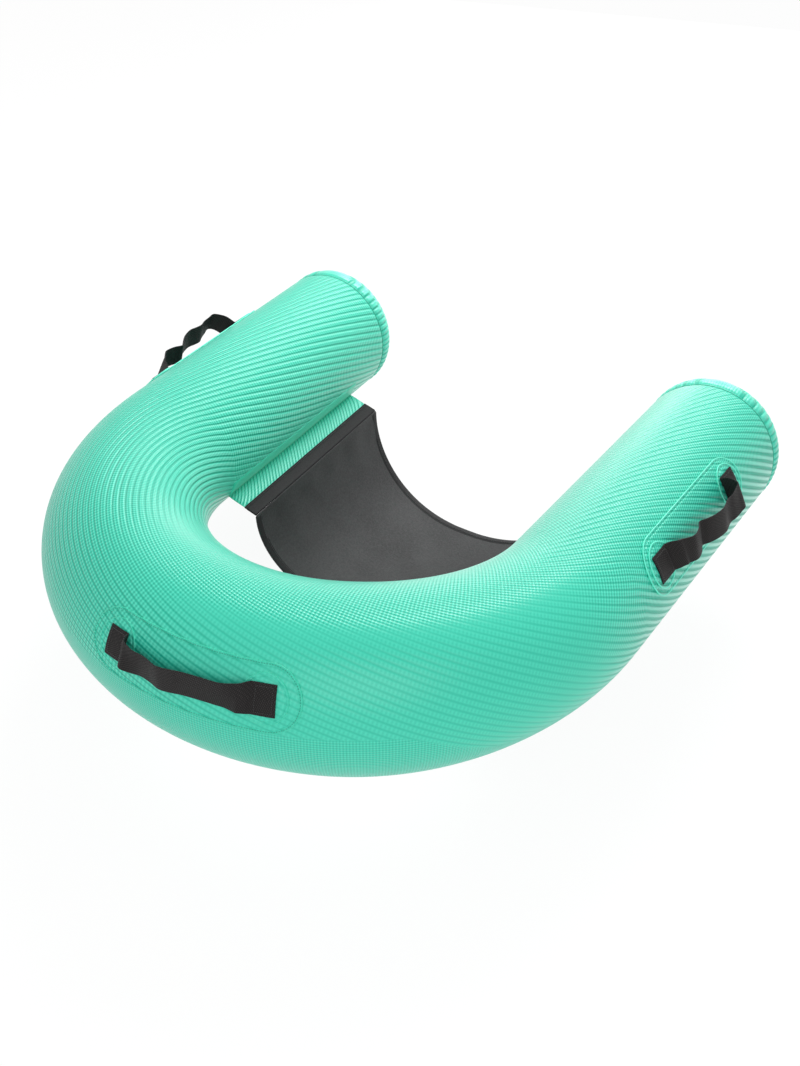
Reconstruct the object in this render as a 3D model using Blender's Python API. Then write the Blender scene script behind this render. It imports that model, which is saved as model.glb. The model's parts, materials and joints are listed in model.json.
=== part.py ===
"""Pool lounger: a U of air-filled tube in a ribbed cover, with a hanging sling seat and three webbing handles.

Run with: blender --background --python part.py
Units are metres. +Z is up and the origin is under the middle of the lounger, at its lowest point.
The open end of the U, where the legs go, faces -Y. The left arm of the person seated is at +X.

The tube is laid out with two numbers: run, the distance along its centre line from the middle of the
bend (negative on the left arm, positive on the right one), and turn, the angle round it in degrees
(0 faces into the U, 90 is the top, 180 the outer side and 270 the underside).
"""

import math

import bmesh
import bpy
import numpy as np
from mathutils import Vector

# Driving dimensions of the tube
TUBE_RADIUS_BACK = 0.130
TUBE_RADIUS_ARM = 0.119
TUBE_RADIUS_END = 0.121
TUBE_TALL = 1.03
BEND_RADIUS = 0.379
ARM_LENGTH = 0.497
ARM_SPLAY = math.radians(2.65)
BACK_EVEN_RUN = 0.175
CAP_DOME = 0.065
COVER_FABRIC = 0.0012
SEW_GAP = 0.0003

# Air bladder inside the cover
BLADDER_SLACK = 0.0005
BLADDER_FILM = 0.0009

# Faces of the tube: round it, along one arm and along half of the bend
SIDES = 32
ARM_STEPS = 5
HALF_BEND_STEPS = 14
DOME_STEPS = 4

# Zip in the underside of the bend, on the side that faces into the U
ZIP_TURN_CELL = 27
ZIP_HALF_CELLS = 5
ZIP_TAPE = 0.0009
ZIP_TOOTH_HEIGHT = 0.0016
ZIP_TOOTH_WIDTH = 0.0032
ZIP_TEETH = 40
ZIP_TEETH_SHARE = 0.97
ZIP_STOP_LENGTH = 0.0040
ZIP_STOP_WIDTH = 0.0068
ZIP_STOP_HEIGHT = 0.0022
SLIDER_LENGTH = 0.014
SLIDER_WALL = 0.0012
SLIDER_CLEARANCE = 0.0006
PULL_LENGTH = 0.030
PULL_WIDTH = 0.009
PULL_THICKNESS = 0.0014
BAIL_WIRE = 0.0014
BAIL_HEIGHT = 0.0065
BAIL_HALF = 0.0045
PULL_BAR = 0.0012
PULL_EYE = 0.0050
PULL_LEVEL = 0.0030

# Air valve in the middle of the left end cap
VALVE_BORE = 0.0130
VALVE_NECK_WALL = 0.0030
VALVE_FLANGE_RADIUS = 0.030
VALVE_FLANGE_THICKNESS = 0.0016
VALVE_PROUD = 0.0080
VALVE_INSERT_WALL = 0.0030
VALVE_INSERT_DEPTH = 0.0120
VALVE_CAP_THICKNESS = 0.0036
VALVE_PLUG_DEPTH = 0.0030
VALVE_FIT = 0.0003
HOLE_CLEARANCE = 0.0012
TETHER_RING_WALL = 0.0022
TETHER_RING_HEIGHT = 0.0036
TETHER_PIN_RADIUS = 0.0012
TETHER_PIN_REACH = 0.0032
TETHER_EAR = 0.0016
TETHER_EAR_GAP = 0.0046
LUG_HALF = 0.0040
LUG_WALL = 0.0009

# Flaps that carry the sling, and the strips they are sewn on
FLAP_TURN = -34.0
FLAP_STRIP_TURN = 17.0
STRIP_FABRIC = 0.0011
SURFACE_LIFT = 0.0006
FLAP_FRONT_FROM_SEAM = 0.110
FLAP_REAR_FROM_BEND = 0.000
FLAP_THICKNESS = 0.0026
FLAP_WIDTH = 0.036
FLAP_SLOPE = math.radians(-19.0)
TONGUE_WIDTH = 0.012
TONGUE_THICKNESS = 0.0012

# Sling
HEM_WIDTH = 0.0245
HEM_PLY = 0.0013
SLING_SAG = 0.182
SLING_FABRIC = 0.0026
SLING_HOLLOW_EDGE = 0.033
SLING_SIDE_POWER = 2.27
SLING_BASE_POWER = 2.07
SLING_FLAT_CUT = 0.0005
BINDING_WIDTH = 0.015
BINDING_PLY = 0.0011
SLING_ACROSS = 34
SLING_ALONG = 9

# Webbing handles
WEBBING_WIDTH = 0.042
WEBBING_THICKNESS = 0.0020
REAR_SPAN = 0.262
ARM_SPAN = 0.285
REAR_TAB = 0.032
ARM_TAB = 0.040
REAR_TURN = 151.5
ARM_TURN = 147.0
REAR_DROOP = 28.0
ARM_DROOP = 17.0
DROOP_EASE = 0.40
TWIST_EASE = 0.12
WAVE_SHARES = (-1.0, -0.93, -0.85, -0.78, -0.70, -0.58, -0.42, -0.26, -0.10, 0.06, 0.22, 0.38, 0.54, 0.70,
               0.78, 0.86, 0.93, 1.0)
REAR_RISES = (0.0, 0.0090, 0.0139, 0.0127, 0.0112, 0.0095, 0.0110, 0.0150, 0.0130, 0.0095, 0.0078, 0.0070, 0.0072,
              0.0072, 0.0081, 0.0090, 0.0045, 0.0)
REAR_LEANS = (0.0, -0.0020, -0.0033, -0.0034, -0.0032, -0.0035, -0.0025, -0.0015, -0.0020, -0.0030, -0.0025,
              -0.0015, -0.0015, -0.0010, -0.0005, -0.0002, 0.0, 0.0)
ARM_RISES = (0.0, 0.0200, 0.0350, 0.0343, 0.0332, 0.0300, 0.0310, 0.0340, 0.0300, 0.0230, 0.0155, 0.0220, 0.0245,
             0.0170, 0.0160, 0.0151, 0.0085, 0.0)
ARM_LEANS = (0.0, 0.0, 0.0040, 0.0090, 0.0130, 0.0120, 0.0090, 0.0100, 0.0140, 0.0120, 0.0070, 0.0080, 0.0110,
             0.0080, 0.0040, 0.0020, 0.0, 0.0)
LOOP_CUT = 0.78
FOLD_GAP = 0.0017
REAR_HANDLE_RUN = 0.038
ARM_HANDLE_FROM_SEAM = 0.3165
PATCH_LENGTH = 0.330
PATCH_WIDTH = 0.094
PATCH_FABRIC = 0.0011
PATCH_TIP = 0.30
PAD_LENGTH = 0.066
PAD_WIDTH = 0.070

# Worked out from the driving dimensions
HALF_BEND = BEND_RADIUS * (math.pi / 2 - ARM_SPLAY)
STRAIGHT = (ARM_LENGTH + BEND_RADIUS * math.sin(ARM_SPLAY)) / math.cos(ARM_SPLAY)
HALF_RUN = HALF_BEND + STRAIGHT
BLADDER_LIFT = -(COVER_FABRIC + BLADDER_SLACK)
TURN_STEP = 360.0 / SIDES
PATCH_LIFT = SURFACE_LIFT
PAD_LIFT = PATCH_LIFT + PATCH_FABRIC + SEW_GAP
TAB_LIFT = PAD_LIFT + PATCH_FABRIC + SEW_GAP

MATERIALS = {
    "cover": ((0.075, 0.700, 0.480), 0.75, 0.0),
    "trim": ((0.060, 0.600, 0.420), 0.70, 0.0),
    "sling": ((0.075, 0.075, 0.078), 0.85, 0.0),
    "binding": ((0.060, 0.060, 0.062), 0.80, 0.0),
    "webbing": ((0.045, 0.045, 0.047), 0.70, 0.0),
    "bladder": ((0.780, 0.800, 0.780), 0.45, 0.0),
    "valve": ((0.050, 0.050, 0.055), 0.40, 0.0),
    "rubber": ((0.030, 0.030, 0.030), 0.60, 0.0),
    "zip": ((0.050, 0.055, 0.055), 0.55, 0.0),
}


def clear_scene():
    """Remove what the scene holds before the model is made."""
    for thing in list(bpy.data.objects):
        bpy.data.objects.remove(thing, do_unlink=True)


def material(name):
    """Return the named Principled material, made on first use."""
    found = bpy.data.materials.get(name)
    if found:
        return found
    colour, roughness, metallic = MATERIALS[name]
    found = bpy.data.materials.new(name)
    found.use_nodes = True
    shader = found.node_tree.nodes["Principled BSDF"]
    shader.inputs["Base Color"].default_value = (*colour, 1.0)
    shader.inputs["Roughness"].default_value = roughness
    shader.inputs["Metallic"].default_value = metallic
    return found


def add_object(name, bm, look, origin=(0.0, 0.0, 0.0), smooth=40.0):
    """Turn a bmesh into a named object whose own origin is the given point."""
    bmesh.ops.remove_doubles(bm, verts=bm.verts[:], dist=1e-6)
    if bm.calc_volume(signed=True) < 0.0:
        bmesh.ops.reverse_faces(bm, faces=bm.faces[:])
    bmesh.ops.translate(bm, verts=bm.verts[:], vec=-Vector(origin))
    mesh = bpy.data.meshes.new(name)
    bm.to_mesh(mesh)
    bm.free()
    mesh.shade_smooth()
    mesh.set_sharp_from_angle(angle=math.radians(smooth))
    mesh.materials.append(material(look))
    thing = bpy.data.objects.new(name, mesh)
    thing.location = origin
    bpy.context.scene.collection.objects.link(thing)
    return thing


# The tube's own geometry


def smooth_step(value):
    """Ease from 0 to 1 with level ends."""
    clipped = np.clip(value, 0.0, 1.0)
    return clipped * clipped * (3.0 - 2.0 * clipped)


def tube_radius(run):
    """Radius of the tube at a run: even at the back, slimmer on the arms, a little fuller at the seams."""
    away = np.abs(run)
    slim = smooth_step((away - BACK_EVEN_RUN) / (HALF_BEND - BACK_EVEN_RUN))
    along = np.clip((away - HALF_BEND) / STRAIGHT, 0.0, 1.0)
    arm = TUBE_RADIUS_ARM + (TUBE_RADIUS_END - TUBE_RADIUS_ARM) * along
    return TUBE_RADIUS_BACK + (arm - TUBE_RADIUS_BACK) * slim


def centre_line(run):
    """Points of the centre line and the level directions that point into the U, for an array of runs."""
    run = np.asarray(run, dtype=float)
    side = np.where(run < 0.0, 1.0, -1.0)
    away = np.abs(run)
    angle = np.minimum(away, HALF_BEND) / BEND_RADIUS
    straight = np.maximum(away - HALF_BEND, 0.0)
    ahead = np.stack([side * np.cos(angle), -np.sin(angle), np.zeros_like(angle)], axis=-1)
    point = np.stack([side * BEND_RADIUS * np.sin(angle), BEND_RADIUS * np.cos(angle),
                      np.zeros_like(angle)], axis=-1)
    point = point + ahead * straight[..., None]
    inward = np.stack([-side * np.sin(angle), -np.cos(angle), np.zeros_like(angle)], axis=-1)
    return point, inward


def skin(run, turn, lift):
    """Points lifted off the tube's surface at runs and turns (degrees), as one array."""
    run, turn, lift = np.broadcast_arrays(np.asarray(run, float), np.asarray(turn, float),
                                          np.asarray(lift, float))
    point, inward = centre_line(run)
    angle = np.radians(turn)
    radius = tube_radius(run)
    flat = (np.cos(angle) * (radius + lift))[..., None] * inward
    tall = (np.sin(angle) * (radius * TUBE_TALL + lift))[..., None] * np.array([0.0, 0.0, 1.0])
    return point + flat + tall


def arm_ahead(side):
    """Direction of an arm away from the bend. Side is -1 for the left arm and 1 for the right one."""
    return np.array([-side * math.sin(ARM_SPLAY), -math.cos(ARM_SPLAY), 0.0])


def dome(side, climb, turn, lift):
    """Points of an end dome: climb runs from 0 at the seam to 90 at the middle."""
    climb, turn, lift = np.broadcast_arrays(np.asarray(climb, float), np.asarray(turn, float),
                                            np.asarray(lift, float))
    point, inward = centre_line(np.full(climb.shape, side * HALF_RUN))
    rise = np.radians(climb)
    angle = np.radians(turn)
    radius = tube_radius(HALF_RUN)
    flat = (np.cos(rise) * np.cos(angle) * (radius + lift))[..., None] * inward
    tall = (np.cos(rise) * np.sin(angle) * (radius * TUBE_TALL + lift))[..., None]
    out = (np.sin(rise) * (CAP_DOME + lift))[..., None] * arm_ahead(side)
    return point + flat + tall * np.array([0.0, 0.0, 1.0]) + out


# Mesh makers


def grid_shell(outer, inner, keep=None, wrap=False):
    """Close two point grids into one thick skin.

    Outer and inner have the shape (rows, columns, 3). Keep marks the cells that exist, so a slot or
    a window is a run of cells left out, and its edge gets a wall. Wrap joins the last column to the
    first.
    """
    rows, columns = outer.shape[:2]
    cells = columns if wrap else columns - 1
    if keep is None:
        keep = np.ones((rows - 1, cells), dtype=bool)
    bm = bmesh.new()
    top = [[bm.verts.new(outer[i, j]) for j in range(columns)] for i in range(rows)]
    low = [[bm.verts.new(inner[i, j]) for j in range(columns)] for i in range(rows)]

    def there(i, j):
        if wrap:
            j %= cells
        return 0 <= i < rows - 1 and 0 <= j < cells and keep[i, j]

    for i in range(rows - 1):
        for j in range(cells):
            if not keep[i, j]:
                continue
            k = (j + 1) % columns
            bm.faces.new((top[i][j], top[i][k], top[i + 1][k], top[i + 1][j]))
            bm.faces.new((low[i][j], low[i + 1][j], low[i + 1][k], low[i][k]))
            if not there(i - 1, j):
                bm.faces.new((top[i][k], top[i][j], low[i][j], low[i][k]))
            if not there(i + 1, j):
                bm.faces.new((top[i + 1][j], top[i + 1][k], low[i + 1][k], low[i + 1][j]))
            if not there(i, j - 1):
                bm.faces.new((top[i][j], top[i + 1][j], low[i + 1][j], low[i][j]))
            if not there(i, j + 1):
                bm.faces.new((top[i + 1][k], top[i][k], low[i][k], low[i + 1][k]))
    bmesh.ops.delete(bm, geom=[v for v in bm.verts if not v.link_faces], context="VERTS")
    bmesh.ops.remove_doubles(bm, verts=bm.verts[:], dist=1e-6)
    bmesh.ops.dissolve_degenerate(bm, edges=bm.edges[:], dist=1e-7)
    return bm


def loft(rings, closed_ends=True):
    """Join rings of points, each a closed outline in the same order, and fill the first and last."""
    bm = bmesh.new()
    loops = [[bm.verts.new(p) for p in ring] for ring in rings]
    count = len(loops[0])
    for near, far in zip(loops[:-1], loops[1:]):
        for j in range(count):
            k = (j + 1) % count
            bm.faces.new((near[j], near[k], far[k], far[j]))
    if closed_ends:
        bm.faces.new(loops[0][::-1])
        bm.faces.new(loops[-1])
    bmesh.ops.remove_doubles(bm, verts=bm.verts[:], dist=1e-6)
    return bm


def revolve(profile, origin, axis, steps):
    """Turn a closed profile of (radius, height) pairs about an axis through the origin."""
    axis = Vector(axis).normalized()
    first = axis.orthogonal().normalized()
    second = axis.cross(first)
    bm = bmesh.new()
    rings = []
    for s in range(steps):
        angle = 2.0 * math.pi * s / steps
        out = first * math.cos(angle) + second * math.sin(angle)
        rings.append([bm.verts.new(Vector(origin) + out * r + axis * h) for r, h in profile])
    count = len(profile)
    for s in range(steps):
        near = rings[s]
        far = rings[(s + 1) % steps]
        for j in range(count):
            k = (j + 1) % count
            bm.faces.new((near[j], near[k], far[k], far[j]))
    bmesh.ops.remove_doubles(bm, verts=bm.verts[:], dist=1e-6)
    bmesh.ops.dissolve_degenerate(bm, edges=bm.edges[:], dist=1e-7)
    return bm


def join(first, *others):
    """Add the faces of other bmeshes to the first one."""
    for other in others:
        held = bpy.data.meshes.new("joined")
        other.to_mesh(held)
        other.free()
        first.from_mesh(held)
        bpy.data.meshes.remove(held)
    return first


# Cover, end caps and bladder


def tube_runs():
    """Stations along the tube: a few on each straight arm, many round the bend."""
    arm = np.linspace(HALF_RUN, HALF_BEND, ARM_STEPS, endpoint=False)
    bend = np.linspace(-HALF_BEND, HALF_BEND, 2 * HALF_BEND_STEPS + 1)
    return np.concatenate([-arm, bend, arm[::-1]])


def zip_run():
    """Run at which the zip slot ends, either side of the middle of the bend."""
    return HALF_BEND * ZIP_HALF_CELLS / HALF_BEND_STEPS


def build_cover():
    """Ribbed cover of the whole tube: a sewn sleeve with a zip slot under the bend."""
    runs = tube_runs()
    turns = np.arange(SIDES) * TURN_STEP
    outer = skin(runs[:, None], turns[None], 0.0)
    inner = skin(runs[:, None], turns[None], -COVER_FABRIC)
    keep = np.ones((len(runs) - 1, SIDES), dtype=bool)
    middle = ARM_STEPS + HALF_BEND_STEPS
    keep[middle - ZIP_HALF_CELLS:middle + ZIP_HALF_CELLS, ZIP_TURN_CELL] = False
    return add_object("cover_tube", grid_shell(outer, inner, keep, wrap=True), "cover")


def dome_climb(radius):
    """Climb angle at which an end dome has a radius."""
    return math.degrees(math.acos(radius / tube_radius(HALF_RUN)))


def dome_climbs(hole_radius):
    """Climb angles of a dome's rings, from the seam to its middle or to the edge of a round hole."""
    first = math.degrees(SEW_GAP / CAP_DOME)
    if not hole_radius:
        return np.linspace(first, 90.0, DOME_STEPS + 1)
    rings = np.linspace(first, dome_climb(VALVE_FLANGE_RADIUS + HOLE_CLEARANCE), DOME_STEPS)
    return np.append(rings, dome_climb(hole_radius))


def build_end_cap(name, side, hole_radius):
    """Round end panel of the cover, bulged by the air behind it."""
    climbs = dome_climbs(hole_radius)
    turns = np.arange(SIDES) * TURN_STEP
    outer = dome(side, climbs[:, None], turns[None], 0.0)
    inner = dome(side, climbs[:, None], turns[None], -COVER_FABRIC)
    return add_object(name, grid_shell(outer, inner, wrap=True), "cover")


def build_bladder():
    """Air bladder: one closed film with domed ends, open only where the valve is welded in."""
    turns = np.arange(0, SIDES, 2) * TURN_STEP
    hole = VALVE_BORE + VALVE_NECK_WALL + HOLE_CLEARANCE

    def film(lift):
        left = dome(-1, dome_climbs(hole)[::-1, None], turns[None], lift)
        middle = skin(tube_runs()[:, None], turns[None], lift)
        right = dome(1, dome_climbs(0.0)[:, None], turns[None], lift)
        return np.concatenate([left, middle, right])

    bm = grid_shell(film(BLADDER_LIFT), film(BLADDER_LIFT - BLADDER_FILM), wrap=True)
    return add_object("air_bladder", bm, "bladder")


# Zip


def zip_turns():
    """First, middle and last turn of the slot in the cover."""
    first = ZIP_TURN_CELL * TURN_STEP
    return first, first + TURN_STEP / 2, first + TURN_STEP


def zip_flat(run, across, lift):
    """Points on the flat cell of the slot: across runs from 0 at its first edge to 1 at its last."""
    first, _, last = zip_turns()
    near = skin(run, first, lift)
    far = skin(run, last, lift)
    return near + (far - near) * np.asarray(across, float)[..., None]


def zip_cell_width():
    """Width of the slot across its flat cell."""
    ends = zip_flat(np.zeros(2), np.array([0.0, 1.0]), 0.0)
    return float(np.linalg.norm(ends[1] - ends[0]))


def build_zip_tape(name, near, far):
    """One fabric tape of the zip, between two places across the slot."""
    gap = SEW_GAP / zip_cell_width()
    runs = np.linspace(-zip_run() + SEW_GAP, zip_run() - SEW_GAP, 2 * ZIP_HALF_CELLS + 1)
    runs[1:-1] = np.linspace(-zip_run(), zip_run(), 2 * ZIP_HALF_CELLS + 1)[1:-1]
    across = np.array([near + gap, far - gap])
    top = zip_flat(runs[:, None], across[None], -SEW_GAP)
    low = zip_flat(runs[:, None], across[None], -SEW_GAP - ZIP_TAPE)
    return add_object(name, grid_shell(top, low), "zip")


def build_zip_teeth(name, near, far):
    """One row of moulded teeth on its tape, as a notched bar that follows the slot."""
    end = zip_run() * ZIP_TEETH_SHARE
    runs = np.linspace(-end, end, 2 * ZIP_TEETH + 1)
    across = np.array([near, far])
    foot = SEW_GAP
    high = foot + ZIP_TOOTH_HEIGHT
    notch = foot + ZIP_TOOTH_HEIGHT * 0.45
    rings = []
    for index, run in enumerate(runs):
        levels = (high, notch) if index % 2 else (notch, high)
        if index in (0, len(runs) - 1):
            levels = (levels[1],)
        for level in levels:
            corners = zip_flat(np.full(4, run), across[[0, 0, 1, 1]], np.array([foot, level, level, foot]))
            rings.append(corners)
    return add_object(name, loft(rings), "zip", smooth=20.0)


def build_zip_stop(name, side):
    """End stop: a block across both tapes, just past the last teeth."""
    near = zip_run() * ZIP_TEETH_SHARE + SEW_GAP
    half = ZIP_STOP_WIDTH / 2 / zip_cell_width()
    foot = SEW_GAP
    rings = []
    for run in (near, near + ZIP_STOP_LENGTH):
        rings.append(zip_flat(np.full(4, side * run), np.array([0.5 - half, 0.5 - half, 0.5 + half, 0.5 + half]),
                              np.array([foot, foot + ZIP_STOP_HEIGHT, foot + ZIP_STOP_HEIGHT, foot])))
    return add_object(name, loft(rings), "zip", smooth=20.0)


def zip_frame(run):
    """Place on the zip's middle line with its directions: along, across and out of the tube."""
    middle = zip_flat(np.array([run]), np.array([0.5]), 0.0)[0]
    along = zip_flat(np.array([run + 0.001]), np.array([0.5]), 0.0)[0] - middle
    edge = zip_flat(np.array([run]), np.array([1.0]), 0.0)[0] - middle
    along = Vector(along).normalized()
    edge = Vector(edge).normalized()
    out = edge.cross(along).normalized()
    return Vector(middle), along, edge, out


def slider_rest_run():
    """Run of the slider when the zip is closed."""
    reach = BEND_RADIUS - math.cos(math.radians(zip_turns()[1])) * TUBE_RADIUS_BACK
    return zip_run() * ZIP_TEETH_SHARE - (SLIDER_LENGTH / 2 + SLIDER_CLEARANCE) * BEND_RADIUS / reach


def box_section(half, low, high):
    """Corners of a rectangle across the zip, as (across, out) pairs."""
    return [(-half, low), (-half, high), (half, high), (half, low)]


def build_slider(axis_origin):
    """Slider: a bridge over both rows of teeth, with a wire bail for the pull."""
    place, along, edge, out = zip_frame(slider_rest_run())
    reach = ZIP_TOOTH_WIDTH + SLIDER_CLEARANCE
    roof = SEW_GAP + ZIP_TOOTH_HEIGHT + SLIDER_CLEARANCE
    foot = SEW_GAP
    outline = [(-reach - SLIDER_WALL, foot), (-reach - SLIDER_WALL, roof + SLIDER_WALL),
               (reach + SLIDER_WALL, roof + SLIDER_WALL), (reach + SLIDER_WALL, foot),
               (reach, foot), (reach, roof), (-reach, roof), (-reach, foot)]
    rings = []
    for step in (-0.5, 0.5):
        shift = place + along * (SLIDER_LENGTH * step)
        rings.append([shift + edge * a + out * o for a, o in outline])
    bridge = loft(rings)
    top = roof + SLIDER_WALL
    arch = []
    for step in range(9):
        angle = math.pi * step / 8
        centre = place - along * (math.cos(angle) * BAIL_HALF)
        centre = centre + out * (top - BAIL_WIRE * 0.5 + math.sin(angle) * BAIL_HEIGHT)
        radial = (along * -math.cos(angle) + out * math.sin(angle)).normalized()
        half = BAIL_WIRE / 2
        arch.append([centre + radial * a + edge * b
                     for a, b in ((-half, -half), (-half, half), (half, half), (half, -half))])
    thing = add_object("zip_slider", bridge, "zip", origin=axis_origin, smooth=30.0)
    bail = add_object("zip_bail", loft(arch), "zip", smooth=30.0)
    unite(thing, bail)
    return thing


def unite(target, extra):
    """Fuse a second object into the first with a Boolean union and drop the second."""
    bpy.context.view_layer.update()
    modifier = target.modifiers.new("fuse", "BOOLEAN")
    modifier.operation = "UNION"
    modifier.solver = "EXACT"
    modifier.object = extra
    bpy.context.view_layer.update()
    graph = bpy.context.evaluated_depsgraph_get()
    fused = bpy.data.meshes.new_from_object(target.evaluated_get(graph))
    target.modifiers.clear()
    target.data = fused
    bpy.data.objects.remove(extra, do_unlink=True)


def pull_pivot():
    """Middle of the wire under the bail, where the pull hangs, and the slot's directions there."""
    place, along, edge, out = zip_frame(slider_rest_run())
    top = SEW_GAP + ZIP_TOOTH_HEIGHT + SLIDER_CLEARANCE + SLIDER_WALL
    return place + out * (top + PULL_LEVEL), along, edge, out


def build_pull():
    """Pull tab: a plate whose eye goes round the bail, lying back along the zip."""
    pivot, along, edge, out = pull_pivot()
    half = PULL_WIDTH / 2
    slot = BAIL_WIRE
    thick = PULL_THICKNESS / 2
    near = -PULL_BAR - SEW_GAP
    middle = (near - PULL_EYE) / 2
    outer = [(PULL_BAR, -half * 0.6), (PULL_BAR, half * 0.6), (near, half * 0.8), (middle, half * 0.9),
             (-PULL_EYE, half), (-PULL_LENGTH, half * 0.7), (-PULL_LENGTH, -half * 0.7), (-PULL_EYE, -half),
             (middle, -half * 0.9), (near, -half * 0.8)]
    window = [(near, -slot * 0.6), (near, slot * 0.6), (near, slot), (middle, slot),
              (-PULL_EYE, slot), (-PULL_EYE, slot * 0.6), (-PULL_EYE, -slot * 0.6), (-PULL_EYE, -slot),
              (middle, -slot), (near, -slot)]
    bm = bmesh.new()
    levels = [[bm.verts.new(pivot + along * a + edge * b + out * height) for a, b in points]
              for points in (outer, window) for height in (-thick, thick)]
    outer_low, outer_top, window_low, window_top = levels
    count = len(outer)
    for j in range(count):
        k = (j + 1) % count
        bm.faces.new((outer_low[j], outer_low[k], outer_top[k], outer_top[j]))
        bm.faces.new((window_low[j], window_top[j], window_top[k], window_low[k]))
        bm.faces.new((outer_top[j], outer_top[k], window_top[k], window_top[j]))
        bm.faces.new((outer_low[k], outer_low[j], window_low[j], window_low[k]))
    return add_object("zip_pull", bm, "zip", origin=pivot, smooth=30.0)


# Valve


def valve_frame():
    """Middle of the left end dome's outside and the direction out of it."""
    middle = dome(-1, np.array([90.0]), np.array([0.0]), np.array([0.0]))[0]
    return Vector(middle), Vector(arm_ahead(-1))


def dome_drop(radius, lift):
    """Height of the end dome below its middle, at a radius from its axis."""
    wide = tube_radius(HALF_RUN) + lift
    tall = CAP_DOME + lift
    return lift - tall * (1.0 - math.sqrt(1.0 - (radius / wide) ** 2))


def build_valve():
    """Welded base, screwed insert with its rubber flap, and the ring that tethers the cap."""
    place, out = valve_frame()
    neck = VALVE_BORE + VALVE_NECK_WALL
    weld = BLADDER_LIFT - BLADDER_FILM - SEW_GAP
    flange_low = weld - VALVE_FLANGE_THICKNESS
    edge_top = dome_drop(VALVE_FLANGE_RADIUS, weld) - SEW_GAP
    edge_low = edge_top - VALVE_FLANGE_THICKNESS
    neck_top = dome_drop(neck, weld) - SEW_GAP
    base = [(VALVE_BORE, VALVE_PROUD), (neck, VALVE_PROUD), (neck, neck_top),
            (VALVE_FLANGE_RADIUS, edge_top), (VALVE_FLANGE_RADIUS, edge_low),
            (neck, flange_low - 0.001), (neck - 0.001, -VALVE_INSERT_DEPTH - 0.003),
            (VALVE_BORE, -VALVE_INSERT_DEPTH - 0.003)]
    parts = [add_object("valve_base", revolve(base, place, out, 24), "valve")]
    sleeve = VALVE_BORE - VALVE_FIT
    hollow = sleeve - VALVE_INSERT_WALL
    insert = [(sleeve, -0.0005 + VALVE_PROUD - VALVE_PLUG_DEPTH - 0.0010), (sleeve, -VALVE_INSERT_DEPTH),
              (hollow, -VALVE_INSERT_DEPTH), (hollow, -VALVE_INSERT_DEPTH * 0.7),
              (0.0025, -VALVE_INSERT_DEPTH * 0.7), (0.0025, -VALVE_INSERT_DEPTH * 0.5),
              (hollow, -VALVE_INSERT_DEPTH * 0.5), (hollow, -0.0005 + VALVE_PROUD - VALVE_PLUG_DEPTH - 0.0010)]
    parts.append(add_object("valve_insert", revolve(insert, place, out, 24), "valve"))
    seat = -VALVE_INSERT_DEPTH * 0.7
    stem_top = -VALVE_INSERT_DEPTH * 0.5
    flap = [(0.0, stem_top + 0.0020), (0.0038, stem_top + SEW_GAP), (0.0021, stem_top + SEW_GAP),
            (0.0021, seat - SEW_GAP), (hollow - 0.0008, seat - SEW_GAP),
            (hollow - 0.0008, seat - SEW_GAP - 0.0009), (0.0, seat - SEW_GAP - 0.0014)]
    parts.append(add_object("valve_flap", revolve(flap, place, out, 20), "rubber"))
    parts.append(build_tether(place, out, neck))
    parts.append(build_valve_cap(place, out, neck))
    return parts


def tether_pivot():
    """Middle of the pin that the valve's cap swings on, above the neck."""
    place, out = valve_frame()
    up = Vector((0.0, 0.0, 1.0))
    neck = VALVE_BORE + VALVE_NECK_WALL
    arm = neck + VALVE_FIT + TETHER_RING_WALL + TETHER_PIN_REACH
    return place + up * arm + out * (VALVE_PROUD - TETHER_PIN_RADIUS), out.cross(up).normalized()


def build_tether(place, out, neck):
    """Ring snapped round the neck with two ears and a pin for the cap."""
    inner = neck + VALVE_FIT
    outer = inner + TETHER_RING_WALL
    top = VALVE_PROUD - 0.0022
    low = top - TETHER_RING_HEIGHT
    ring = [(inner, top), (outer, top), (outer, low), (inner, low)]
    thing = add_object("valve_tether", revolve(ring, place, out, 24), "valve")
    pivot, across = tether_pivot()
    up = Vector((0.0, 0.0, 1.0))
    pin_half = TETHER_EAR_GAP + TETHER_EAR
    foot = -TETHER_PIN_REACH - TETHER_RING_WALL * 0.7
    for sign in (-1.0, 1.0):
        rings = []
        for offset in (TETHER_EAR_GAP, pin_half):
            middle = pivot + across * (sign * offset)
            rings.append([middle + up * u + out * o for u, o in
                          ((foot, -0.0040), (0.0018, -0.0018), (0.0018, 0.0014), (foot * 0.55, 0.0004))])
        ear_object = add_object("ear", loft(rings if sign > 0 else rings[::-1]), "valve")
        unite(thing, ear_object)
    pin = []
    for offset in (-pin_half + TETHER_EAR * 0.5, pin_half - TETHER_EAR * 0.5):
        middle = pivot + across * offset
        pin.append([middle + up * (TETHER_PIN_RADIUS * math.cos(a)) + out * (TETHER_PIN_RADIUS * math.sin(a))
                    for a in [2.0 * math.pi * s / 10 for s in range(10)]])
    unite(thing, add_object("pin", loft(pin), "valve"))
    return thing


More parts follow.
